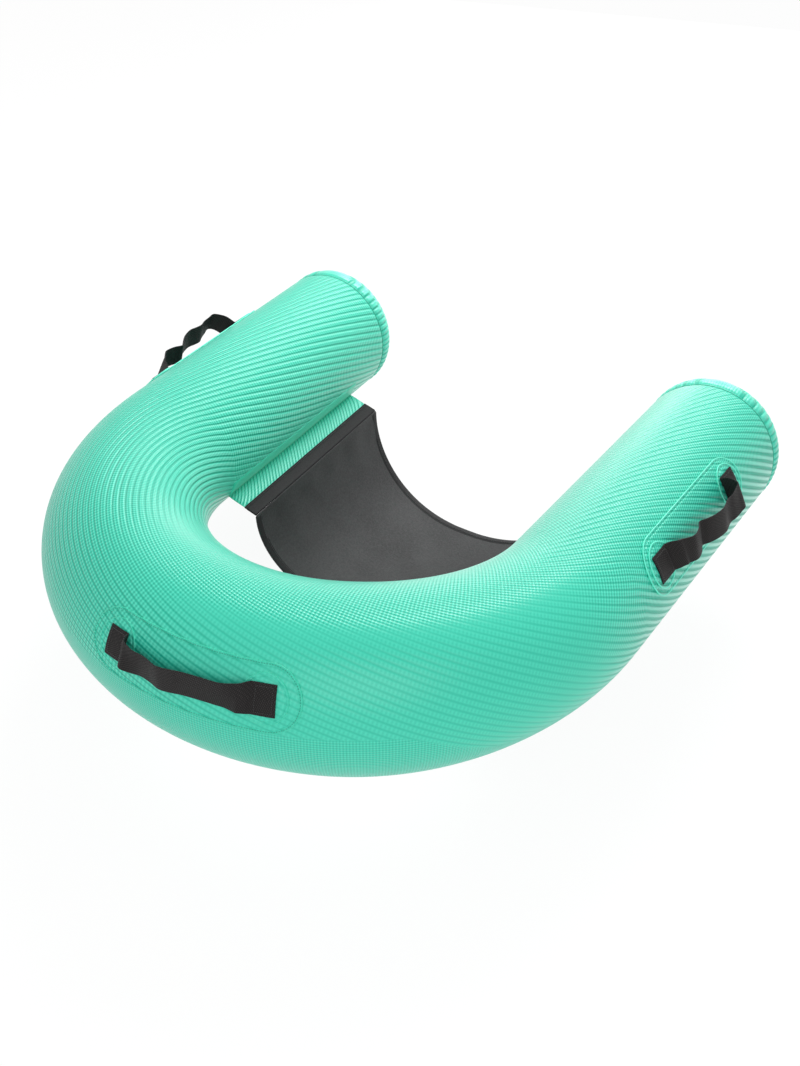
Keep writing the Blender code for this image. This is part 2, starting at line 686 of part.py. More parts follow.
def build_valve_cap(place, out, neck):
    """Cap that closes the neck: a ribbed disc with a plug, swung on the tether's pin."""
    low = VALVE_PROUD + VALVE_FIT
    high = low + VALVE_CAP_THICKNESS
    rim = neck + 0.0010
    plug = VALVE_BORE - 0.0009
    face = [(0.0, high), (rim - 0.0012, high), (rim, high - 0.0012), (rim, low), (plug, low),
            (plug - 0.0006, low - VALVE_PLUG_DEPTH), (0.0, low - VALVE_PLUG_DEPTH)]
    pivot, across = tether_pivot()
    thing = add_object("valve_cap", revolve(face, place, out, 24), "valve", origin=pivot)
    up = Vector((0.0, 0.0, 1.0))
    inner = TETHER_PIN_RADIUS + VALVE_FIT
    outer = inner + LUG_WALL
    joined = -(VALVE_FIT + TETHER_RING_WALL + TETHER_PIN_REACH)
    hook = [math.radians(a) for a in (-110, -75, -40, 0, 40, 75, 90)]
    outline = [(outer * math.cos(a), outer * math.sin(a)) for a in hook]
    outline += [(joined, VALVE_CAP_THICKNESS), (joined, outer * 0.9), (-inner, outer * 0.9)]
    outline += [(inner * math.cos(a), inner * math.sin(a)) for a in hook[::-1]]
    rings = []
    for offset in (-LUG_HALF, LUG_HALF):
        middle = pivot + across * offset
        rings.append([middle + up * u + out * o for u, o in outline])
    lug = add_object("lug", loft(rings), "valve")
    unite(thing, lug)
    return thing


# Flaps, strips and sling


def flap_runs(side, steps):
    """Stations of a flap along its arm, from the rear to the front."""
    rear = HALF_BEND + FLAP_REAR_FROM_BEND
    front = HALF_RUN - FLAP_FRONT_FROM_SEAM
    return side * np.linspace(rear, front, steps + 1)


def arm_point(run, inward_by, up_by):
    """Points of a section across an arm, from the tube's centre line."""
    point, inward = centre_line(run)
    up = np.array([0.0, 0.0, 1.0])
    return point + inward * np.asarray(inward_by)[..., None] + up * np.asarray(up_by)[..., None]


def flap_root(run):
    """Inward and upward distance of the place where a flap leaves the tube."""
    angle = math.radians(FLAP_TURN)
    radius = tube_radius(run)
    return math.cos(angle) * radius, math.sin(angle) * radius * TUBE_TALL


def flap_section(run, out, up):
    """Points in a flap's own plane: out along its slope from the root, up square to it."""
    root_in, root_up = flap_root(run)
    cos, sin = math.cos(FLAP_SLOPE), math.sin(FLAP_SLOPE)
    out, up = np.asarray(out, float), np.asarray(up, float)
    return arm_point(run, root_in + out * cos - up * sin, root_up + out * sin + up * cos)


def section_loft(runs, outline):
    """Loft one closed outline, given in a flap's plane, along an arm."""
    out = np.array([p[0] for p in outline])
    up = np.array([p[1] for p in outline])
    rings = [flap_section(np.full(len(out), run), out, up) for run in runs]
    return loft(rings)


def build_flap_strip(name, side):
    """Strip welded to the cover along the top of a flap."""
    runs = flap_runs(side, 6)
    turns = np.linspace(FLAP_TURN + 3.5, FLAP_TURN + FLAP_STRIP_TURN, 5)
    top = skin(runs[:, None], turns[None], SURFACE_LIFT + STRIP_FABRIC)
    low = skin(runs[:, None], turns[None], SURFACE_LIFT)
    return add_object(name, grid_shell(top, low), "trim")


def build_flap(name, side):
    """Doubled flap of cover fabric that stands off the tube, ending in a thin tongue."""
    half = FLAP_THICKNESS / 2
    tongue = TONGUE_THICKNESS / 2
    root = 0.0012
    outline = [(root, -half), (root, half), (FLAP_WIDTH - SEW_GAP, half), (FLAP_WIDTH - SEW_GAP, tongue),
               (FLAP_WIDTH + TONGUE_WIDTH, tongue), (FLAP_WIDTH + TONGUE_WIDTH, -tongue),
               (FLAP_WIDTH - SEW_GAP, -tongue), (FLAP_WIDTH - SEW_GAP, -half)]
    return add_object(name, section_loft(flap_runs(side, 6), outline), "cover", smooth=25.0)


def hem_half():
    """Half of the folded hem's thickness, round the flap's tongue."""
    return TONGUE_THICKNESS / 2 + SEW_GAP + HEM_PLY


def build_hem(name, side):
    """Folded hem of the sling, closed round the tongue of the flap."""
    half = hem_half()
    slot = TONGUE_THICKNESS / 2 + SEW_GAP
    depth = FLAP_WIDTH + TONGUE_WIDTH + SEW_GAP
    end = FLAP_WIDTH + HEM_WIDTH
    outline = [(FLAP_WIDTH, slot), (FLAP_WIDTH, half), (end, half), (end, -half), (FLAP_WIDTH, -half),
               (FLAP_WIDTH, -slot), (depth, -slot), (depth, slot)]
    return add_object(name, section_loft(flap_runs(side, 6), outline), "sling", smooth=25.0)


def sling_edge(side, run):
    """Place where the sling leaves its hem."""
    end = FLAP_WIDTH + HEM_WIDTH + SEW_GAP + SLING_FABRIC / 2
    return flap_section(np.atleast_1d(run), np.array([end]), np.array([0.0]))[0]


def sling_point(across, along):
    """Points of the hanging sling's middle surface.

    Across runs from 0 at the left hem to 1 at the right one and along from 0 at the front edge to 1
    at the rear one. The section is a superellipse, and both free edges curve into the seat.
    """
    across, along = np.broadcast_arrays(np.asarray(across, float), np.asarray(along, float))
    front = sling_edge(-1, flap_runs(-1, 1)[1])
    rear = sling_edge(-1, flap_runs(-1, 1)[0])
    angle = across * math.pi
    cosine = np.cos(angle)
    reach = np.sign(cosine) * np.abs(cosine) ** (2.0 / SLING_SIDE_POWER)
    share = np.abs(reach)
    front_y = front[1] + SLING_HOLLOW_EDGE * (1.0 - share ** 2)
    rear_y = rear[1] - SLING_HOLLOW_EDGE * (1.0 - share ** 2)
    y = front_y + (rear_y - front_y) * along
    half_width = front[0] + (rear[0] - front[0]) * (y - front[1]) / (rear[1] - front[1])
    fall = (1.0 - share ** SLING_SIDE_POWER).clip(0.0) ** (1.0 / SLING_BASE_POWER) * SLING_SAG
    fall = np.minimum(fall, SLING_SAG - SLING_FLAT_CUT)
    return np.stack([half_width * reach, y, front[2] - fall], axis=-1)


def sling_normal(across, along):
    """Unit normals of the sling, pointing up into the seat."""
    step = 1e-4
    near = sling_point(np.clip(across - step, 0, 1), along)
    far = sling_point(np.clip(across + step, 0, 1), along)
    front = sling_point(across, along - step)
    back = sling_point(across, along + step)
    normal = np.cross(far - near, back - front)
    normal /= np.linalg.norm(normal, axis=-1, keepdims=True)
    return np.where(normal[..., 2:3] < 0.0, -normal, normal)


def sling_across(start=0.0):
    """Stations across the sling, even along its curve and from a distance below the hems."""
    fine = np.linspace(0.0, 1.0, 2001)
    path = sling_point(fine, 0.5)
    length = np.concatenate([[0.0], np.cumsum(np.linalg.norm(np.diff(path, axis=0), axis=1))])
    return np.interp(np.linspace(start, length[-1] - start, SLING_ACROSS + 1), length, fine)


def build_sling():
    """Hanging seat panel between the two hems."""
    across = sling_across()
    along = np.linspace(0.0, 1.0, SLING_ALONG + 1)
    middle = sling_point(across[:, None], along[None])
    normal = sling_normal(across[:, None], along[None])
    half = SLING_FABRIC / 2
    return add_object("sling_panel", grid_shell(middle + normal * half, middle - normal * half), "sling")


def build_binding(name, edge_along):
    """Folded tape round a free edge of the sling, as a U section swept along it from under each hem."""
    across = sling_across(hem_half() + BINDING_PLY)
    side = -1.0 if edge_along == 0.0 else 1.0
    edge = sling_point(across, edge_along)
    inside = sling_point(across, edge_along - side * 0.02)
    normal = sling_normal(across, np.full_like(across, edge_along))
    inward = inside - edge
    inward /= np.linalg.norm(inward, axis=-1, keepdims=True)
    inner = SLING_FABRIC / 2 + SEW_GAP
    outer = inner + BINDING_PLY
    lip = BINDING_WIDTH - BINDING_PLY - SEW_GAP
    outline = [(lip, outer), (-SEW_GAP, outer), (-SEW_GAP - BINDING_PLY, outer * 0.5),
               (-SEW_GAP - BINDING_PLY, -outer * 0.5), (-SEW_GAP, -outer), (lip, -outer), (lip, -inner),
               (-SEW_GAP, -inner), (-SEW_GAP, inner), (lip, inner)]
    rings = [[edge[i] + inward[i] * a + normal[i] * b for a, b in outline] for i in range(len(across))]
    return add_object(name, loft(rings), "binding", smooth=50.0)


# Handles


def handle_places():
    """Name and middle run of each handle, with the names of its two ends."""
    arm = HALF_RUN - ARM_HANDLE_FROM_SEAM
    return (("rear", REAR_HANDLE_RUN, ("left", "right")), ("left", -arm, ("rear", "front")),
            ("right", arm, ("rear", "front")))


def handle_value(middle, rear, arm):
    """The rear handle's value or an arm handle's, for the handle whose middle is at a run."""
    return rear if abs(middle) < HALF_BEND else arm


def handle_turn(middle):
    """Turn about the tube of a handle's middle line."""
    return handle_value(middle, REAR_TURN, ARM_TURN)


def handle_tab(middle):
    """Length of a handle's sewn tabs."""
    return handle_value(middle, REAR_TAB, ARM_TAB)


def handle_free(middle):
    """Half of the distance between a handle's sewn tabs."""
    return handle_value(middle, REAR_SPAN, ARM_SPAN) / 2 - handle_tab(middle)


def run_scale(middle):
    """Run along the centre line per metre along the tube's outer side under a handle."""
    reach = BEND_RADIUS - math.cos(math.radians(REAR_TURN)) * TUBE_RADIUS_BACK
    return handle_value(middle, BEND_RADIUS / reach, 1.0)


def stadium(middle, length, width, lift, end_steps, side_steps, across_steps):
    """Round-ended patch on the tube's outer side, as a thick skin."""
    end = width / 2
    bow = np.linspace(-90.0, 0.0, end_steps + 1)
    head = -(length / 2 - end) + end * np.sin(np.radians(bow))
    side = np.linspace(head[-1], -head[-1], side_steps + 1)
    along = np.concatenate([head[:-1], side, -head[-2::-1]])
    past = np.clip(np.abs(along) - (length / 2 - end), 0.0, end) / end
    half = end * np.sqrt(1.0 - past ** 2).clip(PATCH_TIP)
    across = np.linspace(-1.0, 1.0, across_steps + 1)
    turns = handle_turn(middle) + np.degrees(half[:, None] * across[None] / float(tube_radius(middle)))
    runs = (middle + along * run_scale(middle))[:, None]
    return grid_shell(skin(runs, turns, lift + PATCH_FABRIC), skin(runs, turns, lift))


def wave(share, values):
    """Smooth curve through the values at the wave's knots, level beyond both ends.

    Between two knots it is a cubic whose slope at each knot is that of the line past its neighbours.
    """
    knots = np.array(WAVE_SHARES)
    values = np.array(values)
    slopes = np.gradient(values, knots)
    slopes[[0, -1]] = 0.0
    share = np.clip(share, -1.0, 1.0)
    cell = np.clip(np.searchsorted(knots, share, side="right") - 1, 0, len(knots) - 2)
    width = knots[cell + 1] - knots[cell]
    t = (share - knots[cell]) / width
    start = (1 + 2 * t) * (1 - t) ** 2 * values[cell] + t * (1 - t) ** 2 * width * slopes[cell]
    end = t * t * (3 - 2 * t) * values[cell + 1] - t * t * (1 - t) * width * slopes[cell + 1]
    return start + end


def webbing_middle(middle, shares, across):
    """Middle surface of a handle's webbing.

    On its tabs it follows the tube. Between them it waves off the tube, turns flat across its width and
    droops towards upright.
    """
    facing = handle_facing(middle)
    rises, leans = handle_value(middle, (REAR_RISES, REAR_LEANS), (ARM_RISES, ARM_LEANS))
    rise = wave(shares * facing, rises)[:, None]
    along = shares * handle_free(middle) + facing * wave(shares * facing, leans)
    run = middle + handle_side(middle) * along * run_scale(middle)
    turn = handle_turn(middle)
    base = TAB_LIFT + WEBBING_THICKNESS / 2
    radius = float(tube_radius(middle))
    curved = skin(run[:, None], turn + np.degrees(across / radius)[None], base + rise)
    root = skin(run, turn, base)[:, None]
    _, inward = centre_line(run)
    up = np.array([0.0, 0.0, 1.0])
    inside = (1.0 - np.abs(shares))[:, None]
    droop = handle_value(middle, REAR_DROOP, ARM_DROOP) * smooth_step(inside / DROOP_EASE)
    angle = np.radians(turn + droop)
    out = np.cos(angle)[..., None] * inward[:, None] + np.sin(angle)[..., None] * up
    wide = -np.sin(angle)[..., None] * inward[:, None] + np.cos(angle)[..., None] * up
    flat = root + out * rise[..., None] + wide * across[None, :, None]
    share = smooth_step(inside / TWIST_EASE)[..., None]
    return curved * (1.0 - share) + flat * share


def webbing(middle, shares):
    """Strip of webbing over the shares of a handle's free length, mirrored on the left arm."""
    across = np.linspace(-WEBBING_WIDTH / 2, WEBBING_WIDTH / 2, 4)
    surface = webbing_middle(middle, shares, across)
    step = 1e-4
    ahead = webbing_middle(middle, shares + step, across) - webbing_middle(middle, shares - step, across)
    side = webbing_middle(middle, shares, across + step) - webbing_middle(middle, shares, across - step)
    normal = np.cross(ahead, side)
    normal /= np.linalg.norm(normal, axis=-1, keepdims=True)
    half = normal * WEBBING_THICKNESS / 2
    return grid_shell(surface + half, surface - half)


def handle_side(middle):
    """Sign that mirrors what belongs to a handle: -1 on the left arm and 1 elsewhere."""
    return -1.0 if middle < -HALF_BEND else 1.0


def handle_facing(middle):
    """Sign that puts the wave's steep end at the left tab of the rear handle and the front of the others."""
    return 1.0 if abs(middle) < HALF_BEND else -1.0


def build_handle(name, middle, ends):
    """One handle: its base patch, two pads, two sewn tabs and the free loop."""
    bm = stadium(middle, PATCH_LENGTH, PATCH_WIDTH, PATCH_LIFT, 5, 6, 6)
    parts = [add_object(f"handle_{name}_patch", bm, "cover")]
    free = handle_free(middle)
    tab = handle_tab(middle)
    flat = 1.0 + tab / free
    for end, sign in zip(ends, (-1.0, 1.0)):
        place = middle + handle_side(middle) * sign * (free + tab / 2) * run_scale(middle)
        pad = stadium(place, PAD_LENGTH, PAD_WIDTH, PAD_LIFT, 4, 1, 5)
        parts.append(add_object(f"handle_{name}_pad_{end}", pad, "cover"))
        shares = np.concatenate([np.linspace(sign * flat, sign, 3), np.linspace(sign, sign * LOOP_CUT, 11)[1:]])
        parts.append(add_object(f"handle_{name}_tab_{end}", webbing(middle, shares), "webbing"))
    reach = LOOP_CUT - FOLD_GAP / free
    shares = np.linspace(-reach, reach, 33)
    pivot, _ = handle_axis(middle)
    parts.append(add_object(f"handle_{name}_loop", webbing(middle, shares), "webbing", origin=pivot))
    return parts


def handle_axis(middle):
    """Line through both ends of a handle's loop: its middle point and its direction."""
    shares = np.array([-LOOP_CUT, LOOP_CUT])
    ends = [Vector(point) for point in webbing_middle(middle, shares, np.zeros(1))[:, 0]]
    return (ends[0] + ends[1]) / 2, (ends[1] - ends[0]).normalized()


def lowest_and_middle(things):
    """Shift that brings the whole lounger's lowest point and plan middle to the origin."""
    low = np.full(3, np.inf)
    high = np.full(3, -np.inf)
    for thing in things:
        corners = np.array([thing.matrix_world @ v.co for v in thing.data.vertices])
        low = np.minimum(low, corners.min(axis=0))
        high = np.maximum(high, corners.max(axis=0))
    middle = (low + high) / 2
    return Vector((-middle[0], -middle[1], -low[2])), high - low


def main():
    """Build every piece and stand the lounger on its lowest point."""
    clear_scene()
    hole = VALVE_BORE + VALVE_NECK_WALL + HOLE_CLEARANCE
    parts = [build_cover(), build_end_cap("end_cap_left", -1, hole),
             build_end_cap("end_cap_right", 1, 0.0), build_bladder()]
    tooth = ZIP_TOOTH_WIDTH / zip_cell_width()
    seam = SEW_GAP / zip_cell_width()
    parts.append(build_zip_tape("zip_tape_lower", 0.0, 0.5))
    parts.append(build_zip_tape("zip_tape_upper", 0.5, 1.0))
    parts.append(build_zip_teeth("zip_teeth_lower", 0.5 - tooth, 0.5 - seam / 2))
    parts.append(build_zip_teeth("zip_teeth_upper", 0.5 + seam / 2, 0.5 + tooth))
    slide_axis = Vector((0.0, 0.0, 0.0))
    parts.append(build_zip_stop("zip_stop_left", -1))
    parts.append(build_zip_stop("zip_stop_right", 1))
    parts.append(build_slider(slide_axis))
    parts.append(build_pull())
    parts += build_valve()
    for word, side in (("left", -1), ("right", 1)):
        parts.append(build_flap_strip(f"flap_strip_{word}", side))
        parts.append(build_flap(f"flap_{word}", side))
        parts.append(build_hem(f"sling_hem_{word}", side))
    parts.append(build_sling())
    parts.append(build_binding("sling_binding_front", 0.0))
    parts.append(build_binding("sling_binding_rear", 1.0))
    for name, middle, ends in handle_places():
        parts += build_handle(name, middle, ends)
    bpy.context.view_layer.update()
    shift, size = lowest_and_middle(parts)
    lounger = bpy.data.objects.new("lounger", None)
    bpy.context.scene.collection.objects.link(lounger)
    lounger.location = shift
    for thing in parts:
        thing.parent = lounger
    bpy.context.view_layer.update()
    print("shift", [round(v, 5) for v in shift], "size", [round(float(v), 4) for v in size])
    for name, middle, _ in handle_places():
        pivot, axis = handle_axis(middle)
        print(f"handle_{name}_lean", [round(v, 5) for v in pivot + shift], [round(v, 5) for v in axis])
    pivot, axis = tether_pivot()
    print("valve_cap_swing", [round(v, 5) for v in pivot + shift], [round(v, 5) for v in axis])
    print("zip_slide", [round(v, 5) for v in slide_axis + shift], "run", round(slider_rest_run(), 5))
    pivot, along, edge, out = pull_pivot()
    print("zip_pull_swing", [round(v, 5) for v in pivot + shift], [round(v, 5) for v in edge])


main()
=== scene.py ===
"""Looks of the pool lounger: ribbed cover, hanging sling, webbing handles, zip and valve, with its stage.

Every piece is worked out with numpy on a grid of two numbers. On the tube these are run, the distance
along its centre line from the middle of the bend (negative on the left arm), and turn, the angle round
it in degrees (0 faces into the U, 90 is the top, 180 the outer side, 270 the underside). Lengths are in
metres. Left and right are as seen from the sling, looking out between the arms.
"""

from __future__ import annotations

import json
import logging
import math
from dataclasses import dataclass
from enum import Enum
from typing import Any, Union

import bmesh
import bpy
import numpy as np
from mathutils import Matrix, Vector

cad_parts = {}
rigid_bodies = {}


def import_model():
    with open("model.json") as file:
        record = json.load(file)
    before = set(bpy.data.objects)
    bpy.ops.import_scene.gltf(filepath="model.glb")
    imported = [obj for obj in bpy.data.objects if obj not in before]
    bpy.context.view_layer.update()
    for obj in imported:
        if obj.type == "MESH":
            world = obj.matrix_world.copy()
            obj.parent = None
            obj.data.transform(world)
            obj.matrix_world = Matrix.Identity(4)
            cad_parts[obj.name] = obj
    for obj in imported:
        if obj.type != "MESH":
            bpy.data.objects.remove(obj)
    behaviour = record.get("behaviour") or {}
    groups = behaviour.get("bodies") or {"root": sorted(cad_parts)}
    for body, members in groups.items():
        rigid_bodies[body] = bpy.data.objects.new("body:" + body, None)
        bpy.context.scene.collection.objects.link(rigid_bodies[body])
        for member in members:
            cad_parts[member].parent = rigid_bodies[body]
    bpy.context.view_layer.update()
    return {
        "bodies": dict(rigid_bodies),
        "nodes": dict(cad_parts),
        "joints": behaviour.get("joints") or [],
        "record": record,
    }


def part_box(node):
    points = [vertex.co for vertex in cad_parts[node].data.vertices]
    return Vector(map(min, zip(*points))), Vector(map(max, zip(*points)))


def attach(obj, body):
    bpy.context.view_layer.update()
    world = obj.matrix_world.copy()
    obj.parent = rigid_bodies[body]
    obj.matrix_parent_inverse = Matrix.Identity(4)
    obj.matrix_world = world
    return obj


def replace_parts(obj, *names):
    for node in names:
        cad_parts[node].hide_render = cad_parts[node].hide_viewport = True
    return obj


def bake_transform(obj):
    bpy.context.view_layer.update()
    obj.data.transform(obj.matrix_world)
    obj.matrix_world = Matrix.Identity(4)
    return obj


log = logging.getLogger("lounger")
Array = np.ndarray
Colour = tuple[float, float, float]
Look = bpy.types.Material
Piece = bpy.types.Object
UP = np.array([0.0, 0.0, 1.0])
WHITE = (1.0, 1.0, 1.0, 1.0)
CORD_SIDES = 8
PROBE_STEP = 0.01
ARM_HANDLE_FROM_SEAM = 0.3165


# Shader arithmetic


class Wire:
    """A shader socket that takes part in arithmetic, where each operation adds a Math node."""

    def __init__(self, kit: "NodeKit", socket: bpy.types.NodeSocket) -> None:
        self.kit = kit
        self.socket = socket

    def __add__(self, other: "Value") -> "Wire":
        """Sum of the two."""
        return self.kit.maths("ADD", self, other)

    def __radd__(self, other: "Value") -> "Wire":
        """Sum of the two, with the socket second."""
        return self.kit.maths("ADD", other, self)

    def __sub__(self, other: "Value") -> "Wire":
        """Difference of the two."""
        return self.kit.maths("SUBTRACT", self, other)

    def __rsub__(self, other: "Value") -> "Wire":
        """Difference of the two, with the socket second."""
        return self.kit.maths("SUBTRACT", other, self)

    def __mul__(self, other: "Value") -> "Wire":
        """Product of the two."""
        return self.kit.maths("MULTIPLY", self, other)

    def __rmul__(self, other: "Value") -> "Wire":
        """Product of the two, with the socket second."""
        return self.kit.maths("MULTIPLY", other, self)

    def __truediv__(self, other: "Value") -> "Wire":
        """Ratio of the two."""
        return self.kit.maths("DIVIDE", self, other)

    def wave(self) -> "Wire":
        """Round ridge per whole number: 0 in the groove at each whole number and 1 half way between."""
        return self.kit.maths("ABSOLUTE", self.kit.maths("SINE", self * math.pi))

    def swell(self) -> "Wire":
        """Smooth wave: -1 at each whole number and 1 half way between."""
        return self.kit.maths("COSINE", self * (2.0 * math.pi)) * -1.0

    def step(self, low: float, high: float) -> "Wire":
        """Smooth step from 0 at low to 1 at high."""
        return self.kit.node("ShaderNodeMapRange", {"interpolation_type": "SMOOTHSTEP"},
                             {"Value": self, "From Min": low, "From Max": high})

    def turn_step(self, low: float, high: float) -> "Wire":
        """Smooth step between two angles in degrees, for a socket that holds whole turns."""
        return self.step(low / 360.0, high / 360.0)


Value = Union[Wire, float, int]


class NodeKit:
    """The node tree of a new material or world, and the few ways in which nodes are added to it."""

    def __init__(self, owner: Look | bpy.types.World) -> None:
        """Start with an empty tree.

        Args:
            owner: the new material or world.
        """
        self.owner = owner
        owner.use_nodes = True
        self.tree = owner.node_tree
        self.tree.nodes.clear()

    @classmethod
    def of_material(cls, name: str) -> "NodeKit":
        """Kit of a new material of that name."""
        return cls(bpy.data.materials.new(name))

    def add(self, kind: str, settings: dict[str, Any], inputs: dict[str, Any]) -> bpy.types.Node:
        """Add a node.

        Args:
            kind: the node's type.
            settings: its settings, made before its sockets are filled.
            inputs: values or wires by socket name or identifier.

        Returns:
            The node.
        """
        node = self.tree.nodes.new(kind)
        for key, value in settings.items():
            setattr(node, key, value)
        for key, value in inputs.items():
            socket = next(s for s in node.inputs if key in (s.name, s.identifier) and s.enabled)
            if isinstance(value, Wire):
                self.tree.links.new(value.socket, socket)
            elif isinstance(value, bpy.types.Node):
                self.tree.links.new(value.outputs[0], socket)
            else:
                socket.default_value = value
        return node

    def node(self, kind: str, settings: dict[str, Any], inputs: dict[str, Any], output: str = "") -> Wire:
        """Add a node and take one of its outputs.

        Args:
            kind: the node's type.
            settings: its settings.
            inputs: values or wires by socket name.
            output: name of the output, or nothing for the first one in use.

        Returns:
            The wire from that output.
        """
        node = self.add(kind, settings, inputs)
        found = next(s for s in node.outputs if s.enabled and output in ("", s.name))
        return Wire(self, found)

    def maths(self, operation: str, first: Value, second: Value = 0.0) -> Wire:
        """Add a Math node on one or two values."""
        node = self.tree.nodes.new("ShaderNodeMath")
        node.operation = operation
        for socket, value in zip(node.inputs, (first, second)):
            if isinstance(value, Wire):
                self.tree.links.new(value.socket, socket)
            else:
                socket.default_value = float(value)
        return Wire(self, node.outputs[0])

    def mix(self, factor: Value, first: Wire | Colour, second: Wire | Colour) -> Wire:
        """Mix two colours.

        Args:
            factor: 0 for the first colour and 1 for the second.
            first: a wire or a linear colour.
            second: a wire or a linear colour.

        Returns:
            The mixed colour.
        """
        def full(colour: Wire | Colour) -> Wire | tuple[float, ...]:
            """A colour with its alpha, or the wire as it is."""
            return colour if isinstance(colour, Wire) else (*colour, 1.0)

        return self.node("ShaderNodeMix", {"data_type": "RGBA"},
                         {"Factor_Float": factor, "A_Color": full(first), "B_Color": full(second)})

    def noise(self, scale: float, detail: float = 2.0) -> Wire:
        """Noise between 0 and 1 over the position on the object.

        Args:
            scale: ripples in a metre.
            detail: number of finer layers.

        Returns:
            The noise.
        """
        place = self.node("ShaderNodeTexCoord", {}, {}, "Object")
        return self.node("ShaderNodeTexNoise", {}, {"Vector": place, "Scale": scale, "Detail": detail}, "Fac")

    def seen(self) -> Wire:
        """Tell what the camera sees from what only gives light.

        Returns:
            1 for rays from the camera, in reflections and through clear things, and 0 for all others.
        """
        path = self.add("ShaderNodeLightPath", {}, {})
        seen = Wire(self, path.outputs["Is Camera Ray"])
        for ray in ("Is Glossy Ray", "Is Transmission Ray"):
            seen = self.maths("MAXIMUM", seen, Wire(self, path.outputs[ray]))
        return seen

    def uv(self, layer: str) -> tuple[Wire, Wire]:
        """Both numbers of a UV map.

        Args:
            layer: name of the map.

        Returns:
            Its first and second number.
        """
        layer_map = self.node("ShaderNodeUVMap", {"uv_map": layer}, {})
        split = self.add("ShaderNodeSeparateXYZ", {}, {"Vector": layer_map})
        return Wire(self, split.outputs[0]), Wire(self, split.outputs[1])

    def bump(self, height: Wire, metres: float, under: Wire | None = None) -> Wire:
        """Normal that a height gives.

        Args:
            height: relief between 0 and 1.
            metres: the real height of a relief of 1.
            under: a normal to build on, if any.

        Returns:
            The normal.
        """
        inputs: dict[str, Any] = {"Height": height, "Distance": metres, "Strength": 1.0}
        if under is not None:
            inputs["Normal"] = under
        return self.node("ShaderNodeBump", {}, inputs)

    def surface(self, **inputs: Any) -> Look:
        """Close the material with a Principled shader.

        Args:
            **inputs: socket values, with underscores for the spaces in their names.

        Returns:
            The finished material.
        """
        named = {key.replace("_", " "): value for key, value in inputs.items()}
        shader = self.add("ShaderNodeBsdfPrincipled", {}, named)
        self.add("ShaderNodeOutputMaterial", {}, {"Surface": shader})
        return self.owner


# Finishes


class Ribs(Enum):
    """How the ribs of a piece of cover cloth lie."""

    SLEEVE = "sleeve"
    PANEL = "panel"


@dataclass(frozen=True)
class Shares:
    """How strongly the zones of the sleeve show in one wave of its pattern, on top of a base."""

    zones: dict[str, float]
    base: float

    def summed(self, zones: dict[str, Wire]) -> Wire:
        """Sum of the zones times their shares, plus the base."""
        first, *others = (zones[name] * share for name, share in self.zones.items())
        return sum(others, first) + self.base


# Shares of each wave in the tone by zone; since the tone carries the painted crest highlight and groove
# shade, the large edge share paints glinting stripes along the arms' outer sides.
BROAD_TONE = Shares({"left": 0.13, "arm": 0.08, "crown": 0.07, "outer": 0.12, "near": 0.20, "end": 0.14,
                     "inner": 0.10, "edge": 0.22}, 0.02)
FINE_TONE = Shares({"lower": 0.42, "left": 0.18}, 0.06)
PICK_TONE = Shares({"middle": 0.40, "dashes": 0.18}, 0.11)
BROAD_RISE = Shares({"left": 0.12, "arm": 0.10, "outer": 0.05, "end": 0.20, "inner": 0.06, "top": 0.26,
                     "edge": 0.55}, 0.04)


